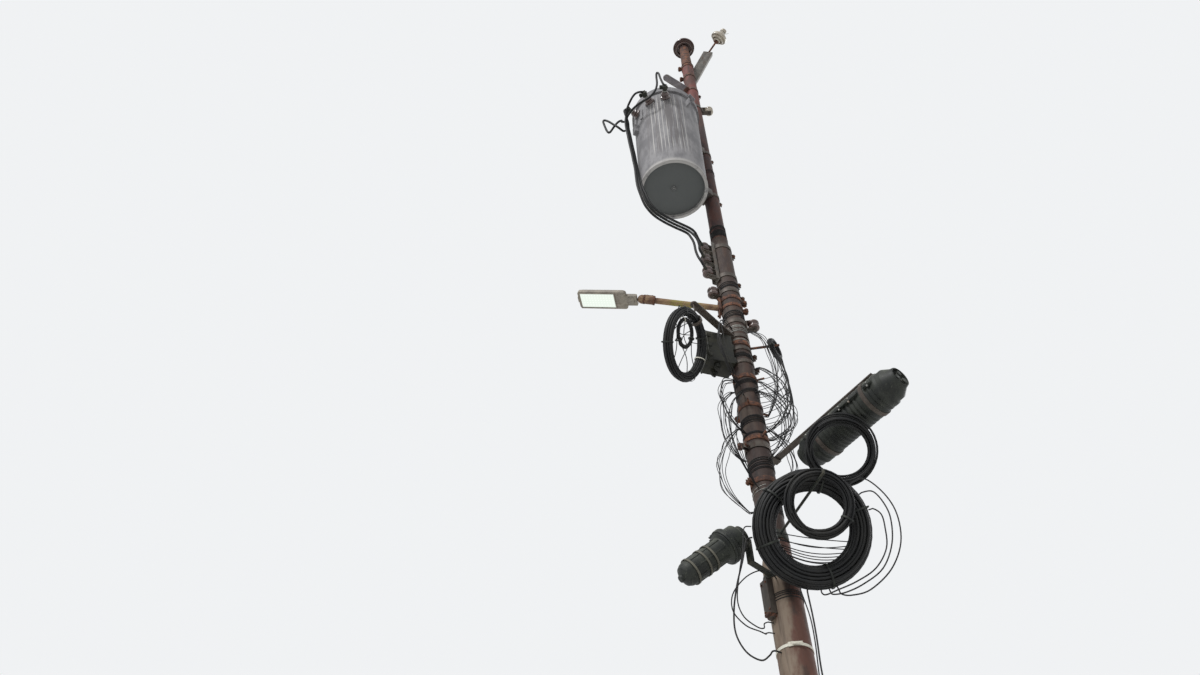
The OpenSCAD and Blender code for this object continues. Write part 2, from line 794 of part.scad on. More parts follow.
module left_clevis() {
    color(zinc)
        at_pole(left_z, left_angle)
            clevis(middle_r, knob_reach);
}

module left_spool() {
    color(brown_glaze)
        at_pole(left_z, left_angle, knob_reach)
            spool();
}

module right_clevis() {
    color(zinc)
        at_pole(right_z, right_angle)
            clevis(middle_r, knob_reach);
}

module right_spool() {
    color(brown_glaze)
        at_pole(right_z, right_angle, knob_reach)
            spool();
}

// Lamp: arm and clamp lie along one rising line, and the head turns on a knuckle at its end
module along_lamp() {
    translate([-lamp_root, 0, lamp_z])
        rotate([0, -lamp_tilt, 180])
            children();
}

module along_head() {
    along_lamp()
        translate([knuckle_x, 0, 0])
            rotate([0, lamp_tilt, 0])
                rotate([0, -head_tilt, -head_yaw])
                    translate([knuckle_r + fit_gap, 0, 0])
                        children();
}

module lamp_bracket() {
    plate_w = 90;
    plate_h = 120;
    color(rust) {
        for (z = [lamp_z - 42, lamp_z + 42])
            at_pole(z, 0)
                band(middle_r, 30);
        difference() {
            at_pole(lamp_z, 180, middle_r + band_t - 1)
                translate([0, -plate_w / 2, -plate_h / 2])
                    cube([14, plate_w, plate_h]);
            translate([0, 0, lamp_z - plate_h])
                cylinder(r = middle_r + fit_gap, h = 2 * plate_h);
        }
    }
}

module lamp_arm() {
    color(rust)
        difference() {
            along_lamp()
                bar_x(lamp_arm_d, -40, lamp_arm_l);
            translate([-middle_r - band_t - 13 - fit_gap, -100, lamp_z - 100])
                cube([400, 200, 200]);
            along_lamp()
                bar_x(lamp_arm_d - 6, 40, lamp_arm_l + 1);
        }
}

// Spigot socket that grips the arm's end, round where the head turns on it
module lamp_clamp() {
    color(zinc)
        along_lamp()
            difference() {
                union() {
                    bar_x(lamp_arm_d + 18, lamp_arm_l - 90, knuckle_x);
                    translate([knuckle_x, 0, 0])
                        sphere(r = knuckle_r);
                    translate([lamp_arm_l - 80, -14, 10])
                        cube([70, 28, 28]);
                }
                bar_x(lamp_arm_d + 2 * fit_gap, lamp_arm_l - 91, lamp_arm_l + fit_gap);
            }
}

// Head outline seen from above, from its neck at x = 0 to its tip
module lamp_outline(shrink = 0) {
    w = lamp_w - 2 * shrink;
    r = 20;
    hull()
        for (x = [lamp_neck_l + r + shrink, lamp_l - r - shrink], s = [-1, 1])
            translate([x, s * (w / 2 - r)])
                circle(r = r, $fn = 32);
    translate([shrink, -lamp_neck_w / 2 + shrink])
        square([lamp_neck_l + 2 * r, lamp_neck_w - 2 * shrink]);
}

module lamp_housing() {
    color([0.66, 0.63, 0.56])
        along_head()
            difference() {
                union() {
                    translate([0, 0, -lamp_t / 2])
                        linear_extrude(lamp_t * 0.62)
                            lamp_outline();
                    translate([0, 0, lamp_t * 0.12 - 1])
                        linear_extrude(lamp_t * 0.38 + 1)
                            lamp_outline(12);
                }
                translate([lamp_l - lens_l - 18, -lens_w / 2, -lamp_t / 2 - 1])
                    cube([lens_l, lens_w, lens_t + 7]);
            }
}

module lamp_lens() {
    color([0.86, 0.92, 0.84])
        along_head()
            translate([lamp_l - lens_l - 18 + fit_gap, -lens_w / 2 + fit_gap, -lamp_t / 2 + 2])
                cube([lens_l - 2 * fit_gap, lens_w - 2 * fit_gap, lens_t + 4 - fit_gap]);
}

module terminal_box() {
    color(black)
        at_pole(box_z, box_angle) {
            difference() {
                translate([box_near, -box_w / 2, 0])
                    cube([box_d, box_w, box_h]);
                translate([box_near + box_d - 20, -box_w / 2 + 8, 8])
                    cube([30, box_w - 16, box_h - 16]);
            }
            for (y = [-28, 28])
                translate([box_near + 110, y, -36])
                    cylinder(d = 30, h = 37);
        }
}

module terminal_box_door() {
    color([0.13, 0.13, 0.12])
        at_pole(box_z, box_angle, box_near + box_d + fit_gap)
            union() {
                translate([0, -box_w / 2 - 4, -4])
                    cube([12, box_w + 8, box_h + 8]);
                translate([11, -box_w / 2 + 14, box_h / 2 - 22])
                    cube([12, 14, 44]);
            }
}

// Bands behind the box, a long flat bar over it and the strap that carries the left coil
module storage_bracket() {
    bar_z = box_z + box_h + 24;
    reach = norm([wheel_top[0], wheel_top[1]]);
    w = 46;
    strap_r = wheel_t / 2 + 0.7;
    color(zinc) {
        for (z = [box_z + 45, box_z + box_h - 100])
            at_pole(z, box_angle + 180)
                band(middle_r, 30);
        at_pole(bar_z, atan2(wheel_top[1], wheel_top[0])) {
            translate([middle_r + 3, -w / 2, -5])
                cube([reach - middle_r - 3, w, 10]);
            translate([reach, 0, -5])
                cylinder(d = w, h = 10);
            rotate([0, 0, 180])
                band(middle_r, 30);
        }
        translate(wheel_top)
            rotate([0, 0, wheel_turn[2] - 90]) {
                rotate([0, 90, 0])
                    translate([0, 0, -12])
                        ring(strap_r, strap_r + 4, 24);
                translate([-12, -2, strap_r + 2])
                    cube([24, 4, bar_z - wheel_top[2] - strap_r - 5]);
            }
    }
}

module coil_ring(r, t) {
    rotate_extrude()
        translate([r, 0])
            circle(d = t);
}

module wheel_coil_outer() {
    color(black)
        translate(wheel_c)
            rotate(wheel_turn)
                coil_ring(wheel_r, wheel_t);
}

module wheel_coil_inner() {
    color(black)
        translate(wheel_c)
            rotate(wheel_turn)
                translate(inner_wheel_at)
                    coil_ring(inner_wheel_r, inner_wheel_t);
}

// Square bar through the small coil on the right
module right_coil_bracket() {
    slack = 0.7;
    z = right_coil_c[2] + right_coil_r - right_coil_t / 2 - slack - right_bar_t / 2;
    reach = norm([right_coil_c[0], right_coil_c[1]]) + 30;
    color(rust)
        at_pole(z, atan2(right_coil_c[1], right_coil_c[0])) {
            rotate([0, 0, 100])
                band(middle_r, 36);
            translate([middle_r + band_t - 1, -right_bar_t / 2, -right_bar_t / 2])
                cube([reach - middle_r, right_bar_t, right_bar_t]);
        }
}

module right_coil() {
    color(black)
        translate(right_coil_c)
            rotate([90, 0, 55])
                coil_ring(right_coil_r, right_coil_t);
}

module hook_bands() {
    color(rust)
        for (i = [0 : 3])
            at_pole(hook_zs[i], 100 + 35 * i) {
                band(middle_r, 32);
                for (a = [120, 240])
                    rotate([0, 0, a])
                        translate([middle_r + band_t - 1, -5, -5])
                            cube([46, 10, 10]);
            }
}

module jumper_wires_left() {
    color(black)
        for (r = jumpers_left)
            wire(r, 9, 4, 8, cross([0, 0, 1], r[1] - r[0]));
}

module jumper_wires_right() {
    color(black)
        for (r = jumpers_right)
            wire(r, 9, 4, 8, cross([0, 0, 1], r[1] - r[0]));
}

module along_closure() {
    translate(closure_start)
        rotate([0, 0, closure_heading])
            children();
}

module inline_closure() {
    r = closure_d / 2;
    color(black)
        along_closure()
            rotate([0, 90, 0])
                rotate_extrude()
                    polygon([
                        [0, 0], [r * 0.55, 0], [r * 0.62, 20], [r * 0.92, 60], [r * 0.92, 90],
                        [r, 100], [r, closure_l - 100], [r * 0.92, closure_l - 90],
                        [r * 0.92, closure_l - 60], [r * 0.62, closure_l - 20],
                        [r * 0.55, closure_l], [0, closure_l]
                    ]);
}

module closure_straps() {
    r = closure_d / 2;
    color(zinc)
        along_closure()
            for (x = strap_xs)
                translate([x, 0, 0]) {
                    rotate([0, 90, 0])
                        ring(r + fit_gap, r + 5, strap_w);
                    translate([0, -12, r + 4])
                        cube([strap_w, 24, 38.7]);
                }
}

// Flat bar above the closure, on a band whose arm meets it square
module closure_bracket() {
    bar_z = closure_start[2] + closure_d / 2 + 44 + fit_gap;
    w = 40;
    along = [cos(closure_heading), sin(closure_heading)];
    aside = [-along[1], along[0]];
    reach = closure_start[0] * aside[0] + closure_start[1] * aside[1];
    back = closure_start[0] * along[0] + closure_start[1] * along[1];
    color(zinc)
        union() {
            at_pole(bar_z - 6, closure_heading + 90) {
                rotate([0, 0, 180])
                    band(middle_r, 44);
                translate([middle_r + band_t - 1, -w / 2, -6])
                    cube([reach + w / 2 - middle_r - band_t + 1, w, 12]);
            }
            translate([closure_start[0], closure_start[1], bar_z - 1])
                rotate([0, 0, closure_heading])
                    translate([-back - w, -w / 2, 0])
                        cube([back + w + closure_l * 0.8, w, 8]);
        }
}

// Hook that carries the round coils at the front of the pole
module coil_hook() {
    rod = 14;
    hook_z = big_coil_top[2] - big_coil_t / 2 - rod / 2 - fit_gap;
    reach = norm([big_coil_top[0], big_coil_top[1]]) + big_coil_t / 2 + inner_coil_t + 18;
    color(rust)
        at_pole(hook_z, atan2(big_coil_top[1], big_coil_top[0])) {
            rotate([0, 0, 180])
                band(middle_r, 50);
            bar_x(rod, middle_r + band_t - 1, reach);
            translate([reach, 0, -rod / 2])
                cylinder(d = rod, h = 26);
        }
}

// The inner coil lies on the face of the big one, and its top rests on the hook
module on_big_coil() {
    translate(big_coil_c)
        rotate([coil_lean, 0, 0])
            children();
}

module big_coil() {
    color(black)
        on_big_coil()
            coil_ring(big_coil_r, big_coil_t);
}

module inner_coil() {
    color(black)
        on_big_coil()
            translate([inner_coil_at[0], inner_coil_at[1], (big_coil_t + inner_coil_t) / 2 + fit_gap])
                coil_ring(inner_coil_r, inner_coil_t);
}

module upper_coil() {
    color(black)
        translate(upper_coil_c)
            rotate([132, 0, -18])
                coil_ring(upper_coil_r, upper_coil_t);
}

module loose_turns() {
    color(black) {
        wire(loose_turn_a, 7, 6, 8);
        wire(loose_turn_b, 7, 6, 8);
        wire(loose_turn_c, 7, 6, 8);
    }
}

module along_dome() {
    translate(dome_start)
        rotate([0, 0, dome_heading])
            rotate([0, dome_dip, 0])
                children();
}

module dome_closure() {
    r = dome_d / 2;
    f = dome_flange_d / 2;
    color(black)
        along_dome()
            rotate([0, 90, 0])
                rotate_extrude()
                    polygon([
                        [0, 0], [f * 0.72, 0], [f * 0.80, 12], [f * 0.80, 60], [f, 66], [f, 104],
                        [r * 1.04, 112], [r * 1.04, dome_l - 60], [r * 0.92, dome_l - 28],
                        [r * 0.62, dome_l - 6], [0, dome_l]
                    ]);
}

module dome_straps() {
    r = dome_d / 2 * 1.04;
    color(zinc)
        along_dome()
            for (x = dome_strap_xs)
                translate([x, 0, 0])
                    rotate([0, 90, 0])
                        ring(r + fit_gap, r + 3, 10);
}

// Arm, post and back plate that carry the dome closure
module dome_bracket() {
    arm_angle = atan2(dome_start[1], dome_start[0]);
    arm_z = 4250;
    post_r = norm([dome_start[0], dome_start[1]]) - 72;
    plate_t = 24;
    back_z = dome_start[2] + plate_t * sin(dome_dip);
    color(rust)
        union() {
            at_pole(arm_z, arm_angle) {
                rotate([0, 0, 180])
                    band(lower_r, 36);
                translate([lower_r + band_t - 1, -15, -5])
                    cube([post_r - lower_r - band_t + 11, 30, 10]);
                translate([post_r - 10, -15, -5])
                    cube([20, 30, back_z - arm_z + 13]);
                translate([post_r - 10, -15, back_z - arm_z - 8])
                    cube([70, 30, 16]);
            }
            along_dome()
                bar_x(100, -plate_t - fit_gap, -fit_gap);
        }
}

module riser_guard() {
    w = 56;
    h = 190;
    color([0.45, 0.45, 0.43])
        at_pole(riser_z, 206)
            difference() {
                union() {
                    translate([lower_r - 6, -w / 2, 0])
                        cube([36, w, h]);
                    translate([lower_r + 10, 0, -14])
                        cylinder(d = 40, h = 20);
                }
                translate([0, 0, -50])
                    cylinder(r = lower_r + fit_gap, h = h + 100);
            }
}

// Thin tie around the pole and the riser's foot
module pole_strap() {
    color([0.75, 0.75, 0.72])
        translate([0, 0, pole_strap_z])
            ring(lower_r + fit_gap, lower_r + 3, 14);
}

module drop_loops() {
    color(black) {
        wire(drop_loop_a, 8, 6, 8);
        wire(drop_loop_b, 6, 6, 8);
        wire(drop_loop_c, 6, 6, 8);
    }
}

module tail_wires() {
    color(black) {
        wire(tail_a, 8, 6, 8);
        wire(tail_b, 6, 6, 8);
    }
}

pole_lower_tube();
pole_middle_tube();
pole_upper_tube();
pole_top_pin();
top_insulator();
bayonet_channel();
bayonet_band_upper();
bayonet_band_lower();
side_insulator_pin();
side_insulator();
equipment_arm();
transformer_tank();
transformer_cover();
cover_clamp_band();
hv_bushings();
lv_bushings();
tank_hanger_upper();
tank_hanger_lower();
transformer_leads();
spare_lead_loop();
service_clevis();
service_spool();
rack_channel();
rack_spools();
rack_bands();
left_clevis();
left_spool();
right_clevis();
right_spool();
lamp_bracket();
lamp_arm();
lamp_clamp();
lamp_housing();
lamp_lens();
terminal_box();
terminal_box_door();
storage_bracket();
wheel_coil_outer();
wheel_coil_inner();
right_coil_bracket();
right_coil();
hook_bands();
jumper_wires_left();
jumper_wires_right();
closure_bracket();
inline_closure();
closure_straps();
coil_hook();
big_coil();
inner_coil();
upper_coil();
loose_turns();
dome_bracket();
dome_closure();
dome_straps();
riser_guard();
pole_strap();
drop_loops();
tail_wires();
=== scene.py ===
import math
import random

import bmesh
import bpy
from mathutils import Euler, Matrix, Vector


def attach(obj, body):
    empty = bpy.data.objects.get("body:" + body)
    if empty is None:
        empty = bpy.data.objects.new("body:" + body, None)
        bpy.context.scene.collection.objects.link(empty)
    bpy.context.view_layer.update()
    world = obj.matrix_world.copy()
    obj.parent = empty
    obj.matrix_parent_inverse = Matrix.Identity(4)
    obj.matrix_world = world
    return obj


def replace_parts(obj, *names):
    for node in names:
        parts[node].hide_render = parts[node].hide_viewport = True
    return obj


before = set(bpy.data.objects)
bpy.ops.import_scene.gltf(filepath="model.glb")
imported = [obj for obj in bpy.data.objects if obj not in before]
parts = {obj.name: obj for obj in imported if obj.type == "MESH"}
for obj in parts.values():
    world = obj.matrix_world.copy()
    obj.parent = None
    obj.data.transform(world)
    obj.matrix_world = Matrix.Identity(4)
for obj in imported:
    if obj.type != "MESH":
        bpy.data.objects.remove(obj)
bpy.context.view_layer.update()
scene = bpy.context.scene

# %% [markdown]
# The camera is at eye height, a little to the left of the pole, and looks steeply up. Its
# lens sees 67 degrees from side to side.
# %% The camera
LENS_MM = 27.03
SENSOR_MM = 36
PITCH = 50.43

camera = bpy.data.objects.new("camera", bpy.data.cameras.new("camera"))
scene.collection.objects.link(camera)
camera.data.lens = LENS_MM
camera.data.sensor_width = SENSOR_MM
camera.location = (-0.893, -3.745, 1.6)
camera.rotation_euler = (math.radians(90 + PITCH), 0, 0)
scene.camera = camera
print("camera at", tuple(camera.location), "pitched up", PITCH, "degrees")

# %% [markdown]
# Shader maths reads best as plain Python. A Channel wraps one socket, so that adding or
# multiplying channels adds the Math nodes, and a Finish wraps one material. Its node method
# makes any other node from its type, its settings and the values of its sockets. Its layers
# method lays coats of colour over a first one, each by its own amount.
# %% Channels and finishes
class Channel:
    def __init__(self, finish, socket):
        self.finish = finish
        self.socket = socket

    def maths(self, operation, *values):
        return self.finish.node("Math", {"operation": operation}, *values)

    def __add__(self, other):
        return self.maths("ADD", self, other)

    def __radd__(self, other):
        return self.maths("ADD", other, self)

    def __sub__(self, other):
        return self.maths("SUBTRACT", self, other)

    def __rsub__(self, other):
        return self.maths("SUBTRACT", other, self)

    def __mul__(self, other):
        return self.maths("MULTIPLY", self, other)

    def between(self, low, high):
        """0 below low, 1 above high, and a smooth step in between; low may be the higher."""
        if low > high:
            return 1 - self.between(high, low)
        settings = {"interpolation_type": "SMOOTHSTEP"}
        return self.finish.node("MapRange", settings, self, low, high)


class Finish:
    def __init__(self, name):
        self.material = bpy.data.materials.new(name)
        self.material.use_nodes = True
        self.tree = self.material.node_tree
        self.tree.nodes.clear()
        self.here = self.node("TexCoord", {}, out="Object")

    def plug(self, made, values):
        for key, value in values:
            if isinstance(value, Channel):
                self.tree.links.new(value.socket, made.inputs[key])
            else:
                made.inputs[key].default_value = value

    def node(self, kind, settings, *values, out=0, **named):
        made = self.tree.nodes.new("ShaderNode" + kind)
        for key, value in settings.items():
            setattr(made, key, value)
        self.plug(made, enumerate(values))
        self.plug(made, [(key.replace("_", " "), value) for key, value in named.items()])
        return Channel(self, made.outputs[out])

    def noise(self, scale, detail=3.0, stretch=(1, 1, 1), rough=0.55):
        place = self.node("Mapping", {}, self.here, Scale=stretch)
        return self.node(
            "TexNoise", {}, Vector=place, Scale=scale, Detail=detail, Roughness=rough
        )

    def axes(self, vector=None):
        """The X, Y and Z of a vector, or of the place on the object."""
        split = self.tree.nodes.new("ShaderNodeSeparateXYZ")
        self.plug(split, [(0, vector or self.here)])
        return [Channel(self, out) for out in split.outputs]

    def upward(self):
        """How far the surface faces up, from -1 to 1."""
        return self.axes(self.node("NewGeometry", {}, out="Normal"))[2]

    def blend(self, amount, low, high):
        """Two colours mixed: a Channel as it is, and three numbers as a tint."""
        low, high = [c if isinstance(c, Channel) else tint(*c) for c in (low, high)]
        made = self.tree.nodes.new("ShaderNodeMix")
        made.data_type = "RGBA"
        self.plug(made, [(0, amount), (6, low), (7, high)])
        return Channel(self, made.outputs[2])

    def layers(self, colour, *coats):
        for amount, coat in coats:
            colour = self.blend(amount, colour, coat)
        return colour

    def bump(self, height, strength, distance):
        return self.node("Bump", {}, Strength=strength, Distance=distance, Height=height)

    def done(self, colour, roughness, metallic=0.0, coat=0.0, **more):
        shader = self.node(
            "BsdfPrincipled", {}, Base_Color=colour, Roughness=roughness, Metallic=metallic,
            Coat_Weight=coat, **more,
        )
        output = self.tree.nodes.new("ShaderNodeOutputMaterial")
        self.tree.links.new(shader.socket, output.inputs["Surface"])
        return self.material


def tint(red, green, blue):
    """A colour as it looks on screen, 0 to 255, turned into the light that it reflects."""
    light = [((c / 255 + 0.055) / 1.055) ** 2.4 if c > 10 else c / 3295 for c in (red, green, blue)]
    return (*light, 1.0)


print("shader helpers ready")

# %% [markdown]
# Cable jackets are black plastic that the sun has turned slightly grey, with dust on their
# upper sides. The dust follows the way the surface faces, so one finish suits every cable.
# %% The cable's finish
def cable_finish(name, jacket, dust, roughness):
    look = Finish(name)
    grime = look.noise(9.0, 4.0)
    speckle = look.noise(140.0, 2.0)
    cover = (look.upward().between(0.1, 1.0) * 0.5 + 0.1) * grime.between(0.38, 0.72)
    return look.done(
        look.blend(cover, jacket, dust), roughness + grime * 0.2,
        Normal=look.bump(speckle, 0.12, 0.0006), Specular_IOR_Level=0.3,
    )


cable_black = cable_finish("cable_black", (19, 20, 22), (88, 86, 78), 0.48)
wire_black = cable_finish("wire_black", (26, 26, 28), (96, 92, 84), 0.55)
CABLE, WIRE = (cable_black, "cable_black"), (wire_black, "cable_black")
print("cable finishes:", cable_black.name, wire_black.name)

# %% [markdown]
# Every wire follows a route of listed points, the same ones as in the CAD model, here in
# metres. A smooth curve runs through the points and is straight at both ends, where the wire
# leaves its stud or the pole square to the surface.
# %% Routes
LEADS = [
    [
        (-0.36, -0.5981, 8.64), (-0.362, -0.62, 8.64), (-0.377, -0.63, 8.664),
        (-0.391, -0.634, 8.75), (-0.401, -0.632, 8.85), (-0.416, -0.622, 8.877),
        (-0.42, -0.614, 8.81), (-0.419, -0.608, 8.743), (-0.423, -0.602, 8.678),
        (-0.437, -0.594, 8.612), (-0.462, -0.584, 8.555), (-0.491, -0.57, 8.521),
        (-0.525, -0.548, 8.518), (-0.56, -0.522, 8.525), (-0.592, -0.492, 8.533),
        (-0.619, -0.462, 8.54), (-0.64, -0.434, 8.54), (-0.667, -0.4, 8.514),
        (-0.671, -0.38, 8.481), (-0.669, -0.36, 8.413), (-0.66, -0.35, 8.326),
        (-0.652, -0.34, 8.241), (-0.642, -0.327, 8.146), (-0.629, -0.312, 8.041),
        (-0.619, -0.298, 7.936), (-0.609, -0.296, 7.812), (-0.604, -0.324, 7.631),
        (-0.596, -0.348, 7.471), (-0.577, -0.338, 7.379), (-0.546, -0.31, 7.285),
        (-0.492, -0.275, 7.221), (-0.416, -0.24, 7.183), (-0.339, -0.215, 7.151),
        (-0.256, -0.19, 7.118), (-0.218, -0.186, 7.064), (-0.196, -0.176, 7.02),
        (-0.186, -0.162, 6.975), (-0.183, -0.145, 6.932), (-0.1505, -0.0896, 6.925),
    ],
    [
        (-0.5251, -0.5413, 8.64), (-0.5371, -0.5597, 8.64), (-0.566, -0.572, 8.618),
        (-0.598, -0.564, 8.609), (-0.621, -0.548, 8.59), (-0.642, -0.52, 8.567),
        (-0.66, -0.488, 8.545), (-0.672, -0.452, 8.528), (-0.6766, -0.416, 8.5055),
        (-0.6816, -0.3964, 8.4747), (-0.6816, -0.3757, 8.4091), (-0.6735, -0.3651, 8.3229),
        (-0.6655, -0.3551, 8.2377), (-0.6557, -0.3418, 8.1424), (-0.6426, -0.3269, 8.0374),
        (-0.6326, -0.3132, 7.9338), (-0.6226, -0.3113, 7.8126), (-0.6206, -0.336, 7.6322),
        (-0.6153, -0.3548, 7.4693), (-0.5968, -0.3386, 7.3736), (-0.5641, -0.3035, 7.2779),
        (-0.5053, -0.2613, 7.2135), (-0.4261, -0.2245, 7.1741), (-0.3478, -0.199, 7.1417),
        (-0.2646, -0.1739, 7.1086), (-0.238, -0.172, 7.05), (-0.222, -0.166, 6.99),
        (-0.216, -0.16, 6.9), (-0.205, -0.156, 6.835), (-0.185, -0.148, 6.782),
        (-0.1505, -0.0896, 6.775),
    ],
    [
        (-0.6529, -0.3969, 8.64), (-0.6727, -0.4065, 8.64), (-0.69, -0.408, 8.612),
        (-0.68, -0.394, 8.56), (-0.6604, -0.3636, 8.4873), (-0.6564, -0.3443, 8.4169),
        (-0.6465, -0.3349, 8.3291), (-0.6385, -0.3249, 8.2443), (-0.6283, -0.3122, 8.1496),
        (-0.6154, -0.2971, 8.0446), (-0.6054, -0.2828, 7.9382), (-0.5954, -0.2807, 7.8114),
        (-0.5874, -0.312, 7.6298), (-0.5767, -0.3412, 7.4727), (-0.5572, -0.3374, 7.3844),
        (-0.5279, -0.3165, 7.2921), (-0.4787, -0.2887, 7.2285), (-0.4059, -0.2555, 7.1919),
        (-0.3302, -0.231, 7.1603), (-0.2474, -0.2061, 7.1274), (-0.208, -0.182, 7.108),
        (-0.182, -0.144, 7.08), (-0.1505, -0.0896, 7.075),
    ],
]
SPARE_LOOP = [
    (-0.6918, -0.3873, 8.4509), (-0.7124, -0.3873, 8.4509), (-0.716, -0.392, 8.464),
    (-0.745, -0.386, 8.447), (-0.778, -0.378, 8.381), (-0.807, -0.372, 8.307),
    (-0.823, -0.37, 8.294), (-0.839, -0.368, 8.336), (-0.858, -0.368, 8.433),
    (-0.866, -0.37, 8.491), (-0.853, -0.374, 8.505), (-0.819, -0.382, 8.463),
    (-0.782, -0.392, 8.392), (-0.75, -0.4, 8.333), (-0.7042, -0.3659, 8.3301),
    (-0.6846, -0.3659, 8.3301),
]
FREE_WIRES = {
    "loose_turn_a": [
        (0.3299, -0.3682, 4.5452), (0.3445, -0.3698, 4.5616), (0.4229, -0.3521, 4.6034),
        (0.5, -0.34, 4.52), (0.535, -0.33, 4.4), (0.52, -0.31, 4.25), (0.45, -0.28, 4.12),
        (0.34, -0.25, 4.03), (0.262, -0.215, 4.024), (0.223, -0.1849, 4.0496),
        (0.2163, -0.1764, 4.0825), (0.211, -0.1743, 4.1037),
    ],
    "loose_turn_b": [
        (0.3697, -0.3481, 4.5038), (0.3874, -0.3492, 4.5169), (0.4415, -0.356, 4.5187),
        (0.478, -0.354, 4.45), (0.492, -0.345, 4.36), (0.47, -0.325, 4.23), (0.405, -0.3, 4.11),
        (0.31, -0.265, 4.05), (0.232, -0.222, 4.034), (0.1846, -0.1808, 4.0515),
        (0.1761, -0.1718, 4.0744), (0.1732, -0.17, 4.0961),
    ],
    "loose_turn_c": [
        (0.4079, -0.3213, 4.4326), (0.4289, -0.3236, 4.4389), (0.4602, -0.3264, 4.4033),
        (0.462, -0.322, 4.33), (0.446, -0.305, 4.22), (0.382, -0.272, 4.13),
        (0.288, -0.236, 4.082), (0.204, -0.204, 4.06), (0.1521, -0.1746, 4.0535),
        (0.1368, -0.166, 4.0709), (0.1363, -0.1654, 4.0929),
    ],
    "drop_loop_a": [
        (-0.1606, -0.2466, 4.3252), (-0.1723, -0.2433, 4.3251), (-0.196, -0.262, 4.296),
        (-0.212, -0.29, 4.24), (-0.232, -0.29, 4.16), (-0.268, -0.25, 4.05), (-0.29, -0.21, 3.94),
        (-0.292, -0.2, 3.834), (-0.256, -0.196, 3.748), (-0.194, -0.18, 3.718),
        (-0.14, -0.108, 3.784), (-0.116, -0.073, 3.826), (-0.0938, -0.0586, 3.836),
        (-0.0717, -0.0448, 3.836),
    ],
    "drop_loop_b": [
        (-0.1653, -0.2829, 4.3624), (-0.1873, -0.2828, 4.3631), (-0.2024, -0.292, 4.3462),
        (-0.214, -0.318, 4.3), (-0.232, -0.326, 4.19), (-0.258, -0.304, 4.08),
        (-0.276, -0.262, 3.97), (-0.252, -0.226, 3.906), (-0.186, -0.164, 3.892),
        (-0.142, -0.092, 3.932), (-0.128, -0.046, 3.984), (-0.1048, -0.0353, 4),
        (-0.0801, -0.027, 4),
    ],
    "drop_loop_c": [
        (-0.0419, -0.0734, 4.216), (-0.0548, -0.096, 4.216), (-0.086, -0.134, 4.21),
        (-0.15, -0.186, 4.176), (-0.224, -0.216, 4.112), (-0.288, -0.226, 4.02),
        (-0.296, -0.228, 3.93), (-0.246, -0.214, 3.868), (-0.176, -0.16, 3.872),
        (-0.136, -0.084, 3.906), (-0.128, -0.034, 3.94), (-0.1074, -0.0262, 3.95),
        (-0.0821, -0.02, 3.95),
    ],
    "tail_a": [
        (0.0744, -0.1674, 4.0972), (0.0708, -0.168, 4.0755), (0.0763, -0.1525, 3.9556),
        (0.075, -0.146, 3.84), (0.07, -0.136, 3.7), (0.074, -0.128, 3.56), (0.086, -0.112, 3.42),
        (0.104, -0.086, 3.31), (0.112, -0.067, 3.256), (0.0957, -0.0553, 3.24),
        (0.0732, -0.0423, 3.24),
    ],
    "tail_b": [
        (0.045, -0.1717, 4.1036), (0.0395, -0.1728, 4.0823), (0.0649, -0.1467, 3.9556),
        (0.069, -0.13, 3.84), (0.062, -0.118, 3.71), (0.056, -0.116, 3.6), (0.054, -0.118, 3.48),
        (0.058, -0.118, 3.39), (0.059, -0.11, 3.346), (0.0519, -0.0976, 3.33),
        (0.0397, -0.0747, 3.33),
    ],
}
JUMPERS_LEFT = [
    [
        (-0.0351, -0.0608, 6.13), (-0.0481, -0.0834, 6.13), (-0.12, -0.19, 6.05),
        (-0.15, -0.22, 5.88), (-0.13, -0.19, 5.7), (-0.0619, -0.0737, 5.6),
        (-0.0452, -0.0538, 5.6),
    ],
    [
        (-0.0546, -0.0442, 5.642), (-0.0748, -0.0606, 5.642), (-0.15, -0.13, 5.56),
        (-0.18, -0.15, 5.4), (-0.14, -0.12, 5.27), (-0.0748, -0.0606, 5.215),
        (-0.0546, -0.0442, 5.215),
    ],
    [
        (-0.0698, 0.008, 5.615), (-0.0956, 0.0109, 5.615), (-0.16, -0.02, 5.5),
        (-0.18, -0.035, 5.29), (-0.15, -0.03, 5.11), (-0.0956, -0.0109, 5.038),
        (-0.0698, -0.008, 5.038),
    ],
    [
        (-0.0351, -0.0608, 5.515), (-0.0481, -0.0834, 5.515), (-0.11, -0.16, 5.35),
        (-0.16, -0.195, 5.13), (-0.15, -0.185, 4.95), (-0.0619, -0.0737, 4.808),
        (-0.0452, -0.0538, 4.808),
    ],
    [
        (-0.0656, 0.0252, 5.325), (-0.0899, 0.0345, 5.325), (-0.17, 0.03, 5.18),
        (-0.215, 0.005, 4.99), (-0.19, 0, 4.82), (-0.0899, 0.0345, 4.704),
        (-0.0656, 0.0252, 4.704),
    ],
]
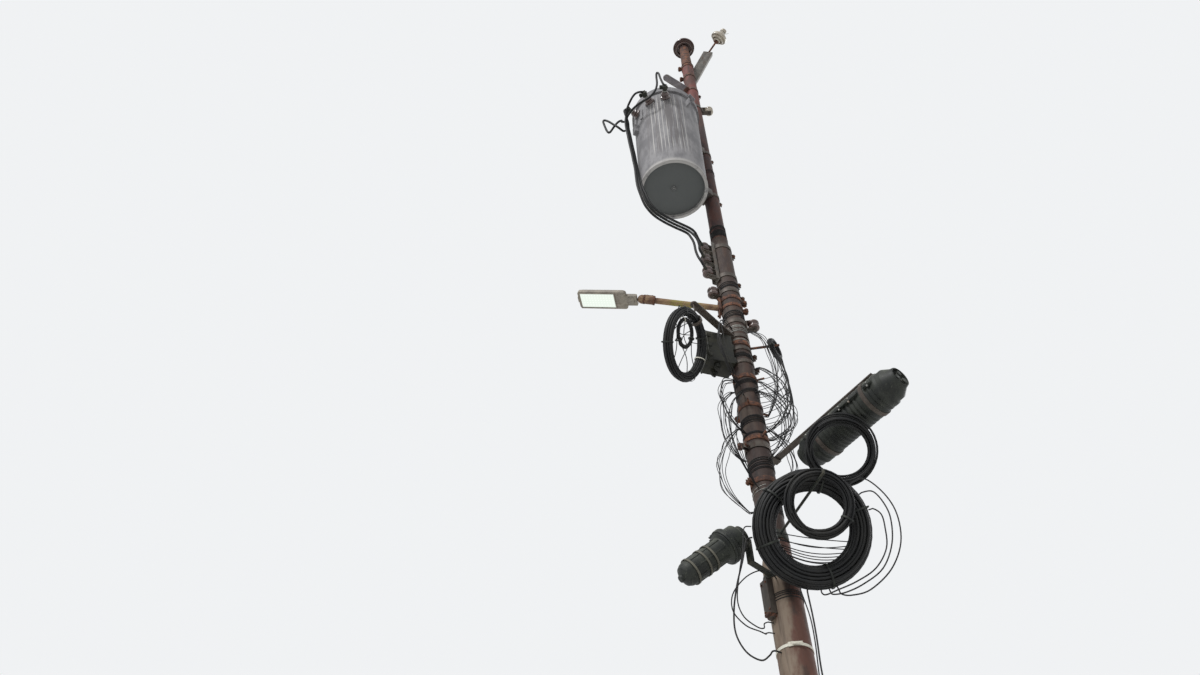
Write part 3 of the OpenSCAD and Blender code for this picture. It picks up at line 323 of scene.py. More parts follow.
JUMPERS_RIGHT = [
    [
        (0.0596, -0.0372, 6.13), (0.0816, -0.051, 6.13), (0.135, -0.098, 6), (0.16, -0.112, 5.75),
        (0.15, -0.1, 5.54), (0.0956, -0.0109, 5.39), (0.0698, -0.008, 5.39),
    ],
    [
        (0.0656, -0.0252, 5.79), (0.0899, -0.0345, 5.79), (0.16, -0.084, 5.64), (0.19, -0.1, 5.43),
        (0.15, -0.1, 5.29), (0.0748, -0.0606, 5.222), (0.0546, -0.0442, 5.222),
    ],
    [
        (0.0698, 0.008, 5.712), (0.0956, 0.0109, 5.712), (0.18, 0.01, 5.6), (0.235, -0.01, 5.43),
        (0.215, 0, 5.3), (0.0956, 0.0109, 5.216), (0.0698, 0.008, 5.216),
    ],
    [
        (0.0351, -0.0608, 5.532), (0.0481, -0.0834, 5.532), (0.115, -0.155, 5.38),
        (0.15, -0.19, 5.2), (0.125, -0.18, 5.06), (0.0481, -0.0834, 4.992),
        (0.0351, -0.0608, 4.992),
    ],
    [
        (0.0599, 0.0367, 5.362), (0.0821, 0.0503, 5.362), (0.15, 0.06, 5.27), (0.198, 0.05, 5.13),
        (0.184, 0.045, 4.99), (0.09, 0.034, 4.904), (0.0657, 0.0248, 4.904),
    ],
]
jumpers = len(JUMPERS_LEFT + JUMPERS_RIGHT)
print(len(LEADS), "leads,", len(FREE_WIRES), "free wires,", jumpers, "jumpers")


# %% [markdown]
# Places are matrices, so one can be set inside another with `@`. Angles are in degrees.
# The radii of the three tubes come first, then the clearance between two pieces, and how
# far what sits on a band stands off its tube.
# %% Places
LOWER_R, MIDDLE_R, UPPER_R = 0.08415, 0.06985, 0.05715
CLEAR = 0.0003
BAND_OUT = 0.0056


def turned(x=0, y=0, z=0):
    return Euler([math.radians(a) for a in (x, y, z)]).to_matrix().to_4x4()


def moved(x=0, y=0, z=0):
    return Matrix.Translation((x, y, z))


def at_pole(z, angle, reach=0.0, up=0.0):
    """Beside the pole at height z, in direction angle, with local X pointing away from it."""
    return moved(z=z) @ turned(z=angle) @ moved(reach, 0, up)


ALONG_X = turned(y=90)


# %% Curves through the points
def through(p0, p1, p2, p3, t):
    straight = 2 * p1 + (p2 - p0) * t
    bend = (2 * p0 - 5 * p1 + 4 * p2 - p3) * t**2 + (3 * p1 - p0 - 3 * p2 + p3) * t**3
    return 0.5 * (straight + bend)


def smooth(route, steps=6):
    """A smooth line through the route, with its first and last stretch straight."""
    knots = [Vector(p) for p in route]
    line = [knots[0]]
    for k in range(1, len(knots) - 2):
        line += [through(*knots[k - 1 : k + 3], step / steps) for step in range(steps)]
    return line + knots[-2:]


def length_of(line):
    return sum((b - a).length for a, b in zip(line, line[1:]))


def add_wires(name, lines, diameter, finish, slot, sides=10):
    """One curve object whose splines are the lines, each a round wire."""
    data = bpy.data.curves.new(name, "CURVE")
    data.dimensions = "3D"
    data.bevel_depth = diameter / 2
    data.bevel_resolution = (sides - 4) // 2
    data.use_fill_caps = True
    for line in lines:
        spline = data.splines.new("POLY")
        spline.points.add(len(line) - 1)
        for point, place in zip(spline.points, line):
            point.co = (*place, 1.0)
    wires = bpy.data.objects.new(name, data)
    scene.collection.objects.link(wires)
    data.materials.append(finish)
    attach(wires, "root")
    return wires


# %% [markdown]
# Each coil is spare cable that was wound by hand: one cable, turn upon turn. The turns sit
# in rows in the bundle's round section. The row is filled from one side to the other and
# the next row the other way, so that the cable always steps to the place beside it, and it
# steps across over the first fifth of each turn. A slow sway keeps the turns from looking
# machine-made. Pitch is the distance between turns, in cable diameters: in a loose coil one
# sees each turn by itself.
# %% Coils of cable
SWAY = 0.12
LOOSENESS = 0.9
TIGHT_PITCH = 1.04
STEP_SHARE = 0.2
ROW_RISE = 0.866


def turn_places(bundle, cable, pitch):
    reach = (bundle - cable) / 2
    pitch = pitch * cable
    count = int(reach / (pitch * ROW_RISE))
    places = []
    for row in range(-count, count + 1):
        height = row * pitch * ROW_RISE
        half = math.sqrt(reach**2 - height**2)
        shift = 0.5 * (row % 2)
        across = [(k + shift) * pitch for k in range(-20, 20) if abs(k + shift) * pitch <= half]
        places += [(a, height) for a in (across if row % 2 else across[::-1])]
    return places


def coil_line(centre, way, radius, bundle, cable, pitch, start, seed, steps=40):
    rng = random.Random(seed)
    place = moved(*centre) @ turned(*way)
    spots = turn_places(bundle, cable, pitch)
    loose = SWAY + LOOSENESS * (pitch - TIGHT_PITCH)
    line = []
    for k, spot in enumerate(spots):
        last = spots[max(k - 1, 0)]
        sway = [rng.uniform(-1, 1) * loose * cable for _ in range(4)]
        for step in range(steps + (k == len(spots) - 1)):
            share = step / steps
            ease = min(share / STEP_SHARE, 1.0)
            ease = ease * ease * (3 - 2 * ease)
            angle = math.tau * share
            out = last[0] + (spot[0] - last[0]) * ease
            up = last[1] + (spot[1] - last[1]) * ease
            out += sway[0] * math.sin(angle) + sway[1] * math.sin(2 * angle)
            up += sway[2] * math.sin(angle) + sway[3] * math.sin(2 * angle)
            r, a = radius + out, angle + math.radians(start)
            line.append(place @ Vector((r * math.cos(a), r * math.sin(a), up)))
    return line


def beside(place, way, x, y, z=0.0):
    """A point given in a coil's own directions."""
    return place + turned(*way).to_3x3() @ Vector((x, y, z))


WHEEL_PLACE, WHEEL_TURN = Vector((-0.384, -0.28, 5.73)), (0, 64.5, 154.5)
BIG_PLACE, BIG_TURN = Vector((0.128, -0.28, 4.355)), (120, 0, 0)
RING_OFF, RING_WAY = 0.0667, math.radians(137)
small_ring = beside(
    WHEEL_PLACE, WHEEL_TURN, RING_OFF * math.cos(RING_WAY), RING_OFF * math.sin(RING_WAY)
)
inner_place = beside(BIG_PLACE, BIG_TURN, 0.02, 0.1023, 0.0883)

# Centre, turn in degrees, radius, bundle and cable diameters, pitch, and where it starts
COILS = {
    "wheel_coil_outer": (WHEEL_PLACE, WHEEL_TURN, 0.2, 0.066, 0.011, 1.1, 180),
    "wheel_coil_inner": (small_ring, WHEEL_TURN, 0.082, 0.036, 0.008, 1.04, 0),
    "right_coil": ((0.219, -0.038, 5.97), (90, 0, 55), 0.062, 0.044, 0.007, 1.04, 90),
    "big_coil": (BIG_PLACE, BIG_TURN, 0.233, 0.12, 0.015, 1.1, 90),
    "inner_coil": (inner_place, BIG_TURN, 0.145, 0.056, 0.011, 1.12, 200),
    "upper_coil": ((0.3326, -0.3772, 4.7738), (132, 0, -18), 0.158, 0.064, 0.011, 1.35, 120),
}

for seed, (name, size) in enumerate(COILS.items()):
    cable, pitch = size[4:6]
    line = coil_line(*size, seed)
    coil = add_wires(name + "_cable", [line], cable, cable_black, "cable_black")
    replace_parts(coil, name)
    long = round(length_of(line), 2)
    print(name, len(turn_places(size[3], cable, pitch)), "turns,", long, "m of", cable, "m cable")

# %% [markdown]
# Some turns have slipped off the big coil on the right, loops of drop wire hang on the left,
# and two tails run down the pole. Each starts on the coil or the pole and goes back to it.
# %% Free wires
THICKNESS = {
    "loose_turn_a": 0.007, "loose_turn_b": 0.007, "loose_turn_c": 0.007,
    "drop_loop_a": 0.008, "drop_loop_b": 0.006, "drop_loop_c": 0.006,
    "tail_a": 0.008, "tail_b": 0.006,
}
STANDS_FOR = {"loose": "loose_turns", "drop": "drop_loops", "tail": "tail_wires"}

for name, route in FREE_WIRES.items():
    line = smooth(route)
    wire = add_wires(name, [line], THICKNESS[name], wire_black, "cable_black")
    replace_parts(wire, STANDS_FOR[name.split("_")[0]])
    long = round(length_of(line), 3)
    print(name, long, "m")

# %% [markdown]
# The transformer's three leads and the spare loop are held at both ends. The jumpers beside
# the pole are really small bundles. Each CAD jumper becomes six thin wires that part in the
# middle and meet again at the ties.
# %% Leads and jumpers
LEAD_D = 0.018
STRANDS, STRAND_D, SPREAD = 6, 0.0042, 0.028

leads = add_wires("transformer_lead_cables", [smooth(r) for r in LEADS], LEAD_D, *CABLE)
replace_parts(leads, "transformer_leads")
spare = add_wires("spare_lead", [smooth(SPARE_LOOP)], LEAD_D, *CABLE)
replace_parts(spare, "spare_lead_loop")


def strands(route, rng):
    middle = smooth(route)
    whole = length_of(middle)
    made = []
    for _ in range(STRANDS):
        aside = Vector([rng.uniform(-1, 1) for _ in range(3)]).normalized()
        beat, late = rng.uniform(1.5, 3.5), rng.uniform(0, math.tau)
        run, line = 0.0, []
        for place, before in zip(middle, [middle[0], *middle]):
            run += (place - before).length
            share = run / whole
            part = math.sin(math.pi * share) ** 0.8
            ripple = 0.3 * math.sin(beat * math.tau * share + late)
            line.append(place + aside * (0.0016 + SPREAD * part * (1 + ripple)))
        made.append(line)
    return made


rng = random.Random(11)
for side, routes in (("left", JUMPERS_LEFT), ("right", JUMPERS_RIGHT)):
    lines = [line for route in routes for line in strands(route, rng)]
    bundle = add_wires("jumper_strands_" + side, lines, STRAND_D, *WIRE, sides=8)
    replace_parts(bundle, "jumper_wires_" + side)
    print("jumpers", side, len(lines), "wires")

# %% [markdown]
# The three tubes were painted red long ago and have rusted since. The top tube still shows
# its brick red, and below 9.6 m it takes a dark painted shade of the tank. The middle one is
# rust darkened as painted shade of the cables round it. The lowest has painted light on its
# left, a dark painted shade streak down its front and bare rust on its right, and the middle
# one is painted lighter on its left in the same way. One recipe makes all three: old paint,
# rust in patches that run down the pole, dark drips and pale flakes, each from a noise that is
# stretched along Z. A bump makes the rust stand up.
# %% Finishes of the pole
def pole_finish(name, colours, side=None, wear_and_painted_light=None):
    paint, rust, drip, flake = colours
    look = Finish(name)
    x, _, z = look.axes()
    patches = look.noise(9, 6, (1, 1, 0.35), 0.62)
    drips = look.noise(30, 4, (1, 1, 0.07))
    flakes = look.noise(48, 6, (1, 1, 0.6), 0.7)
    pits = look.noise(260, 2)
    # Painted light and shade by X: the left side takes a pale band of painted light, and the streak
    # beside it is a dark painted shade on the lowest tube and a lighter band on the middle one.
    if side:
        pale, plain, streak = side
        edge = patches * 0.09 + flakes * 0.03 - x
        paint = look.layers(
            plain, (edge.between(0.012, 0.04), streak), (edge.between(0.045, 0.075), pale)
        )
    # Painted shade of the tank: below from_z the tube takes the dark shade colour in full, and it
    # fades out up to to_z.
    if wear_and_painted_light:
        bare_and_shade, from_z, to_z = wear_and_painted_light
        tank_shade = (z + patches * 2).between(to_z + 1, from_z + 1)
        paint = look.blend(tank_shade * 0.9, paint, bare_and_shade)
    splash = (0.5 - z + patches * 0.3).between(0.0, 0.5) * 0.6
    colour = look.layers(
        paint, (patches.between(0.44, 0.6), rust), (drips.between(0.52, 0.7) * 0.75, drip),
        (flakes.between(0.6, 0.74) * 0.6, flake), (splash, (96, 84, 70)),
    )
    relief = patches * 0.6 + flakes * 0.9 + pits * 0.25
    return look.done(colour, 0.62 + flakes * 0.3, Normal=look.bump(relief, 0.5, 0.0018))


# The dark colour on the upper tube below 9.6 m is painted shade of the tank.
pole_red = pole_finish(
    "pole_red_oxide", [(106, 58, 52), (76, 47, 40), (56, 42, 38), (132, 100, 88)],
    wear_and_painted_light=((46, 37, 38), 8.9, 9.6),
)
# The middle tube is rust darkened as painted shade of the cables round it, and painted lighter on
# its left.
pole_shaded = pole_finish(
    "pole_rust_painted_shade", [(68, 47, 41), (49, 35, 31), (35, 30, 28), (88, 76, 66)],
    side=[(72, 60, 52), (55, 41, 35), (63, 45, 37)],
)
# On the lowest tube the pale left side is painted light and the dark streak down its front is
# painted shade.
pole_pale = pole_finish(
    "pole_pale_rust", [(98, 66, 54), (82, 52, 42), (52, 39, 33), (126, 110, 96)],
    side=[(116, 102, 88), (94, 58, 47), (54, 41, 35)],
)
print("pole finishes ready")


# %% [markdown]
# The hardware is of two kinds. Forged bands, hooks and bolts have rusted all over. Channels,
# clevises and straps are dipped in zinc, which dulls to patches of grey and lets rust through
# at the edges. Voronoi cells give the zinc its flakes. The arm above the tank is grey like
# the tank and rusts only where it grips the pole, so one finish can mix bare rust in by the
# distance from the pole's axis. The leads' connectors, the big coil's hook and the dome
# closure's bracket are dark bronze.
# %% Finishes of the hardware
def rusty_finish(name, deep, bright, dust):
    look = Finish(name)
    blotch = look.noise(34, 5, rough=0.65)
    grain = look.noise(190, 3)
    settled = look.upward().between(0.3, 1.0) * 0.5
    colour = look.layers(deep, (blotch.between(0.4, 0.66), bright), (settled, dust))
    relief = look.bump(blotch * 0.7 + grain * 0.5, 0.45, 0.001)
    return look.done(colour, 0.68 + grain * 0.25, 0.15, Normal=relief)


def zinc_finish(name, light, dull, stain, bare_and_shade=None):
    look = Finish(name)
    spangle = look.node("TexVoronoi", {}, Vector=look.here, Scale=130.0, out="Distance")
    cloud = look.noise(14, 5)
    run = look.noise(40, 4, (1, 1, 0.12))
    stained = (run * 0.6 + cloud * 0.4).between(0.5, 0.64) * 0.75
    colour = look.layers(
        dull, (cloud.between(0.36, 0.64), light), (spangle * 0.35, dull), (stained, stain)
    )
    if bare_and_shade:
        x, y = look.axes()[:2]
        near = (x * x + y * y).between(0.0092, 0.0074)
        colour = look.blend(near * cloud.between(0.2, 0.45), colour, bare_and_shade)
    relief = look.bump(spangle * 0.3 + cloud * 0.7, 0.25, 0.0006)
    return look.done(colour, 0.42 + cloud * 0.3, 0.45, Normal=relief)


rusty_hardware = rusty_finish("rusty_hardware", (60, 42, 36), (118, 76, 54), (120, 106, 90))
galvanised = zinc_finish("galvanised_steel", (172, 172, 166), (132, 132, 128), (112, 84, 62))
galvanised_old = zinc_finish("galvanised_stained", (112, 108, 101), (84, 80, 75), (72, 54, 44))
galvanised_dark = zinc_finish("galvanised_dark", (90, 83, 76), (66, 60, 55), (62, 45, 38))
galvanised_arm = zinc_finish(
    "galvanised_arm", (134, 130, 132), (104, 100, 104), (92, 84, 74), (86, 58, 48)
)
dark_metal = rusty_finish("dark_bronze", (38, 42, 38), (60, 58, 48), (84, 82, 70))
print("hardware finishes ready")

# %% [markdown]
# The tank is chalky grey paint. Rain has drawn fine lines down the front of it: pale where it
# washed clean, evenly spaced as a wave draws them, and dark where dirt stayed. Beside, above
# and below them the chalk is only mottled. The bottom is smooth, and painted darker as shade
# under the tank. Masks on X and Z hold the lines to the front, and the way a surface faces
# picks out the bottom.
# %% Finish of the tank
LINE_PITCH = 0.029
TANK_FOOT = 7.606

look = Finish("tank_paint")
x, _, z = look.axes()
mottle = look.noise(11, 6, (1, 1, 0.5), 0.62)
lines = look.noise(52, 3, (1, 1, 0.022))
fine = look.noise(95, 4, (1, 1, 0.2))
sway = look.noise(7, 3, (1, 1, 0.12))
wave = look.node("Math", {"operation": "COSINE"}, (x + sway * 0.03) * (math.tau / LINE_PITCH))
front = x.between(-0.54, -0.48) * x.between(-0.17, -0.23)
washed = front * z.between(7.7, 7.9) * z.between(8.76, 8.62)
rim = z.between(7.66, 7.62)
# Painted shade: faces that look down, between the tank's foot and 7.75 m, are darkened.
shade_under = look.upward().between(-0.5, -0.9)
shade_under = shade_under * z.between(TANK_FOOT, TANK_FOOT + 0.005) * z.between(7.8, 7.75)
colour = look.layers(
    (106, 105, 108),
    (mottle.between(0.38, 0.62), (134, 133, 135)),
    (fine.between(0.55, 0.7) * 0.5, (96, 94, 94)),
    (washed * lines.between(0.49, 0.42) * 0.7, (88, 84, 84)),
    (washed * wave.between(0.82, 0.97) * lines.between(0.42, 0.5), (182, 180, 176)),
    (rim * mottle.between(0.3, 0.5), (162, 160, 158)),
    # painted shade on the bottom
    (shade_under, (80, 83, 83)),
)
relief = mottle * 0.5 + lines * washed * 1.2 + fine * 0.2
tank_paint = look.done(colour, 0.6 + mottle * 0.25, Normal=look.bump(relief, 0.35, 0.0016))
print("tank finish ready")


# %% [markdown]
# Insulators are glazed: a hard clear coat over porcelain, dull with dust where they face up.
# Moulded plastic is nearly black, with fine scratches, the same dust and, on the black plastic,
# greenish patches of painted sheen. Both read how far a surface faces up.
# %% Finishes of porcelain and plastic
def glaze_finish(name, body, crown, dust):
    look = Finish(name)
    cloud = look.noise(22, 5)
    specks = look.noise(170, 3)
    up = look.upward().between(0.05, 0.9)
    dusty = (up * 0.8 + 0.1) * cloud.between(0.3, 0.6)
    colour = look.layers(
        body, (cloud.between(0.35, 0.65), crown), (dusty, dust),
        (specks.between(0.66, 0.74) * 0.6, (58, 46, 40)),
    )
    rough = 0.18 + up * 0.3 + cloud * 0.15
    return look.done(colour, rough, coat=0.5, Normal=look.bump(cloud, 0.1, 0.001))


def plastic_finish(name, body, wear_and_painted_light, dust):
    look = Finish(name)
    cloud = look.noise(16, 5)
    scratch = look.noise(120, 3, (1, 0.15, 1))
    up = look.upward().between(0.0, 0.95)
    dusty = (up * 0.6 + 0.08) * cloud.between(0.3, 0.6)
    colour = look.layers(
        # The second colour is wear, and on the black plastic a painted sheen.
        body, (cloud.between(0.4, 0.7), wear_and_painted_light), (dusty, dust),
        (scratch.between(0.62, 0.7) * 0.4, dust),
    )
    relief = look.bump(scratch * 0.4 + cloud * 0.4, 0.15, 0.0008)
    return look.done(colour, 0.42 + cloud * 0.3, Normal=relief, Specular_IOR_Level=0.3)


brown_glaze = glaze_finish("brown_porcelain", (64, 48, 46), (84, 64, 60), (128, 112, 100))
pale_glaze = glaze_finish("grey_porcelain", (186, 180, 166), (164, 154, 138), (150, 128, 106))
# The greenish patches on the black plastic are a painted sheen.
black_plastic = plastic_finish("black_plastic", (24, 27, 26), (38, 42, 38), (96, 98, 86))
box_plastic = plastic_finish("box_dark_olive", (22, 23, 19), (36, 36, 28), (92, 90, 72))
tie_plastic = plastic_finish("tie_pale", (206, 204, 192), (184, 180, 166), (150, 142, 124))
tie_dull = plastic_finish("tie_dull", (94, 92, 82), (78, 76, 68), (70, 68, 60))
print("porcelain and plastic ready")

# %% [markdown]
# The lamp's head is warm grey powder coat. Its arm is a tan tube with rust at both ends and
# yellow-green lichen between them, so its colour follows X. The lens is lit from inside by
# rows of small lamps, which a pair of repeating waves draws as soft dots.
# %% Finishes of the lamp
look = Finish("lamp_paint")
cloud = look.noise(18, 5)
dirt = look.noise(50, 5, (0.4, 1, 1))
settled = look.upward().between(0.2, 0.9)
colour = look.layers(
    (126, 120, 110),
    (cloud.between(0.35, 0.65), (144, 137, 124)),
    (dirt.between(0.52, 0.68) * 0.6, (98, 88, 72)),
    (settled * cloud.between(0.3, 0.6) * 0.7, (104, 98, 84)),
)
lamp_paint = look.done(colour, 0.5 + cloud * 0.25, Normal=look.bump(dirt, 0.15, 0.0008))

look = Finish("lamp_arm_lichen")
x = look.axes()[0]
blotch = look.noise(24, 6, (0.5, 1, 1), 0.65)
grain = look.noise(160, 3)
grown = x.between(-0.46, -0.36) * x.between(-0.14, -0.24) * blotch.between(0.38, 0.55)
rotten = x.between(-0.46, -0.53) + x.between(-0.2, -0.1)
colour = look.layers(
    (138, 112, 84),
    (blotch.between(0.4, 0.62), (104, 76, 58)),
    (grown * 0.8, (140, 134, 66)),
    (rotten * blotch.between(0.36, 0.5) * 0.8, (84, 56, 42)),
)
arm_paint = look.done(colour, 0.72, Normal=look.bump(blotch + grain * 0.4, 0.4, 0.0012))

LAMP_ROOT = (-0.09285, 0, 6.446)
LAMP_TURN = (0, -11, 180)
KNUCKLE = (-0.6033, 0, 6.5452)
HEAD_TURN = (0, -15.5, 169)
LED_PITCH = 0.0208
look = Finish("lamp_lens_lit")
turn = [math.radians(a) for a in HEAD_TURN]
local = look.node("Mapping", {"vector_type": "TEXTURE"}, look.here, KNUCKLE, turn)
along, across = [
    look.node("Math", {"operation": "COSINE"}, way * (math.tau / LED_PITCH))
    for way in look.axes(local)[:2]
]
dots = (along + across).between(0.6, 1.8)
glow = look.blend(dots * 0.7 + look.noise(30, 4) * 0.25, (230, 241, 229), (252, 255, 251))
lens_lit = look.done(
    tint(70, 76, 70), 0.25, coat=0.3, Emission_Color=glow, Emission_Strength=0.97
)
print("lamp finishes ready")

# %% [markdown]
# Every CAD part that stays in view now gets its finish. The finishes of the added pieces are
# paired with the names of material slots.
# %% Finishes of the CAD parts
BROWN, PALE = (brown_glaze, "brown_porcelain"), (pale_glaze, "grey_porcelain")
ZINC, RUSTY = (galvanised, "galvanised_steel"), (rusty_hardware, "rusty_hardware")
OLD_ZINC, DARK_ZINC = (galvanised_old, "galvanised_steel"), (galvanised_dark, "galvanised_steel")
BRONZE, BLACK = (dark_metal, "rusty_hardware"), (black_plastic, "black_plastic")
OLIVE, LAMP = (box_plastic, "black_plastic"), (lamp_paint, "lamp_paint")
NYLON = tie_plastic, "tie_strap"

FINISHES = {
    pole_red: ["pole_upper_tube"],
    pole_shaded: ["pole_middle_tube"],
    pole_pale: ["pole_lower_tube"],
    rusty_hardware: [
        "pole_top_pin", "bayonet_band_upper", "bayonet_band_lower", "side_insulator_pin",
    ],
    galvanised_dark: ["rack_bands", "closure_straps"],
    tank_paint: ["transformer_tank", "transformer_cover", "cover_clamp_band"],
    arm_paint: ["lamp_arm", "lamp_clamp"],
    lens_lit: ["lamp_lens"],
    tie_dull: ["dome_straps"],
    tie_plastic: ["pole_strap"],
}

for finish, names in FINISHES.items():
    for name in names:
        mesh = parts[name].data
        mesh.materials.clear()
        mesh.materials.append(finish)
print(sum(len(names) for names in FINISHES.values()), "CAD parts have a finish")


# %% [markdown]
# Now the modelling helpers. Round pieces start as a line of points, radius and height. Vertex
# bevels round the line's corners, and a full spin turns it into a solid. Square pieces start
# as a cube whose edges are bevelled. `put` copies a shape to each of its places, so that a
# nut or a rib is modelled once, and `build` puts several shapes into one piece.
# %% Shapes
SHARP_ANGLE = math.radians(38)


def clean(bm):
    bmesh.ops.remove_doubles(bm, verts=bm.verts, dist=0.00001)
    bmesh.ops.recalc_face_normals(bm, faces=bm.faces)
    return bm


def bevel(bm, geom, soft, rounds=2, affect="EDGES"):
    bmesh.ops.bevel(
        bm, geom=geom, affect=affect, offset=soft, segments=rounds, profile=0.5,
        material=-1, clamp_overlap=True,
    )


def spun(bm, steps):
    bmesh.ops.spin(
        bm, geom=bm.verts[:] + bm.edges[:], cent=(0, 0, 0), axis=(0, 0, 1), angle=math.tau,
        steps=steps, use_merge=True,
    )
    return clean(bm)


def lathe(profile, steps=48, soft=0.0, rounds=2, closed=False):
    bm = bmesh.new()
    verts = [bm.verts.new((r, 0, h)) for r, h in profile]
    for pair in zip(verts, verts[1:] + (verts[:1] if closed else [])):
        bm.edges.new(pair)
    if soft:
        bevel(bm, verts if closed else verts[1:-1], soft, rounds, "VERTICES")
    return spun(bm, steps)


def rod(radius, length, soft=0.001):
    return lathe([(0, 0), (radius, 0), (radius, length), (0, length)], 24, soft)


def hoop(inner, outer, width, soft=0.001, steps=48):
    ends = [(inner, -width / 2), (outer, -width / 2), (outer, width / 2), (inner, width / 2)]
    return lathe(ends, steps, soft, closed=True)


def block(size, soft=0.001, rounds=2):
    """A box around the origin with rounded edges."""
    bm = bmesh.new()
    bmesh.ops.create_cube(bm, size=1)
    bmesh.ops.scale(bm, vec=size, verts=bm.verts)
    bevel(bm, bm.edges[:], soft, rounds)
    return clean(bm)


def hexagon(across, height):
    """A nut or a bolt's head, standing on z = 0, as wide as across between its flats."""
    bm = bmesh.new()
    corner = across / 2 / math.cos(math.pi / 6)
    bmesh.ops.create_cone(
        bm, cap_ends=True, segments=6, radius1=corner, radius2=corner, depth=height
    )
    bmesh.ops.translate(bm, vec=(0, 0, height / 2), verts=bm.verts)
    bevel(bm, bm.edges[:], 0.0008, 1)
    return clean(bm)


def put(whole, shape, *places):
    mesh = bpy.data.meshes.new("scratch")
    shape.to_mesh(mesh)
    for place in places:
        copy = mesh.copy()
        copy.transform(place)
        whole.from_mesh(copy)
        bpy.data.meshes.remove(copy)
    bpy.data.meshes.remove(mesh)
    shape.free()


def add_piece(name, bm, finish, slot):
    mesh = bpy.data.meshes.new(name)
    bm.to_mesh(mesh)
    bm.free()
    mesh.shade_smooth()
    mesh.set_sharp_from_angle(angle=SHARP_ANGLE)
    mesh.materials.append(finish)
    piece = bpy.data.objects.new(name, mesh)
    scene.collection.objects.link(piece)
    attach(piece, "root")
    print(name, len(mesh.polygons), "faces")
    return piece


def build(name, finish, slot, *sets):
    """A piece of several shapes, each followed by the places of its copies."""
    bm = bmesh.new()
    for shape, *places in sets:
        put(bm, shape, *places)
    return add_piece(name, bm, finish, slot)


# %% [markdown]
# CAD edges are perfectly sharp, and real edges are not: a thin line of light runs along each
# one. For channels, brackets and bands, a copy of the CAD mesh is merged, its flat faces are
# joined, and its sharp edges get a small bevel. The copy then stands for the CAD part.
# %% Softened copies
FLAT_ANGLE = math.radians(0.5)


def softened(name, soft, rounds=2, corner=50):
    bm = bmesh.new()
    bm.from_mesh(parts[name].data)
    bmesh.ops.remove_doubles(bm, verts=bm.verts, dist=0.00002)
    bmesh.ops.dissolve_limit(
        bm, angle_limit=FLAT_ANGLE, verts=bm.verts, edges=bm.edges, use_dissolve_boundaries=False
    )
    sharp = [e for e in bm.edges if e.is_manifold and e.calc_face_angle(0) > math.radians(corner)]
    bevel(bm, sharp, soft, rounds)
    bmesh.ops.recalc_face_normals(bm, faces=bm.faces)
    return bm


SOFT_PARTS = [
    (OLD_ZINC, 0.0012, ["bayonet_channel", "rack_channel"]),
    (DARK_ZINC, 0.0012, [
        "tank_hanger_upper", "tank_hanger_lower", "service_clevis", "left_clevis", "right_clevis",
        "closure_bracket", "storage_bracket",
    ]),
    (RUSTY, 0.0012, ["lamp_bracket", "hook_bands", "right_coil_bracket"]),
    (BRONZE, 0.0012, ["coil_hook", "dome_bracket"]),
    ((galvanised_arm, "galvanised_steel"), 0.002, ["equipment_arm"]),
    ((galvanised_dark, "weathered_steel"), 0.003, ["riser_guard"]),
]
for (finish, slot), soft, names in SOFT_PARTS:
    for name in names:
        piece = add_piece(name + "_soft", softened(name, soft), finish, slot)
        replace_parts(piece, name)

# %% [markdown]
# The top insulator is brown porcelain with two skirts, and the one on the leaning channel is
# paler. Seen from below their skirts are rings within rings. Both are one profile, spun. A
# soft wire is tied around each neck.
# %% Pin insulators
INSULATOR_H, PIN_BORE = 0.165, 0.018
POLE_TOP, PLATE_T, SLEEVE_L = 10.46, 0.012, 0.45
CHANNEL_LEAN, CHANNEL_END = 17.6, 0.944
PIN_LEAN, PIN_HEADING, PIN_REACH = 48, -42.7, 0.166


def pin_insulator(width):
    r, h = width / 2, INSULATOR_H
    profile = [
        (0, 0.66), (PIN_BORE / r, 0.66), (PIN_BORE / r, 0.06), (0.36, 0), (0.42, 0.04),
        (0.44, 0.3), (0.58, 0.3), (0.62, 0.1), (0.7, 0.1), (0.76, 0.32), (0.88, 0.3),
        (0.97, 0.22), (1, 0.3), (0.94, 0.44), (0.62, 0.6), (0.4, 0.68), (0.34, 0.78),
        (0.4, 0.84), (0.4, 0.94), (0.32, 1), (0, 1),
    ]
    return lathe([(x * r, y * h) for x, y in profile], 64, 0.005, 3)


on_top = moved(z=POLE_TOP + PLATE_T + SLEEVE_L + CLEAR)
bend = moved(-0.01, 0.06275, 10.15) @ turned(y=CHANNEL_LEAN)
bend = bend @ moved(0, 0.0213, CHANNEL_END) @ turned(y=-CHANNEL_LEAN)
on_channel = bend @ turned(0, PIN_LEAN, PIN_HEADING) @ moved(z=PIN_REACH + CLEAR)

for name, look, width, place in [
    ("top_insulator", BROWN, 0.228, on_top), ("side_insulator", PALE, 0.176, on_channel)
]:
    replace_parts(build(name + "_glazed", *look, (pin_insulator(width), place)), name)


def neck_tie(place, radius, height):
    """A little over two turns of soft wire around an insulator's neck, with a short end."""
    line = []
    for k in range(56):
        a = math.tau * k / 24
        spot = Vector((radius * math.cos(a), radius * math.sin(a), height + 0.0026 * k / 24))
        line.append(place @ spot)
    out = place @ Vector((radius + 0.03, 0.035, height + 0.012))
    return line + [line[-1].lerp(out, 0.5), out]


ties = [neck_tie(on_top, 0.0415, 0.128), neck_tie(on_channel, 0.0325, 0.127)]
add_wires("insulator_tie_wires", ties, 0.0038, *ZINC, sides=8)


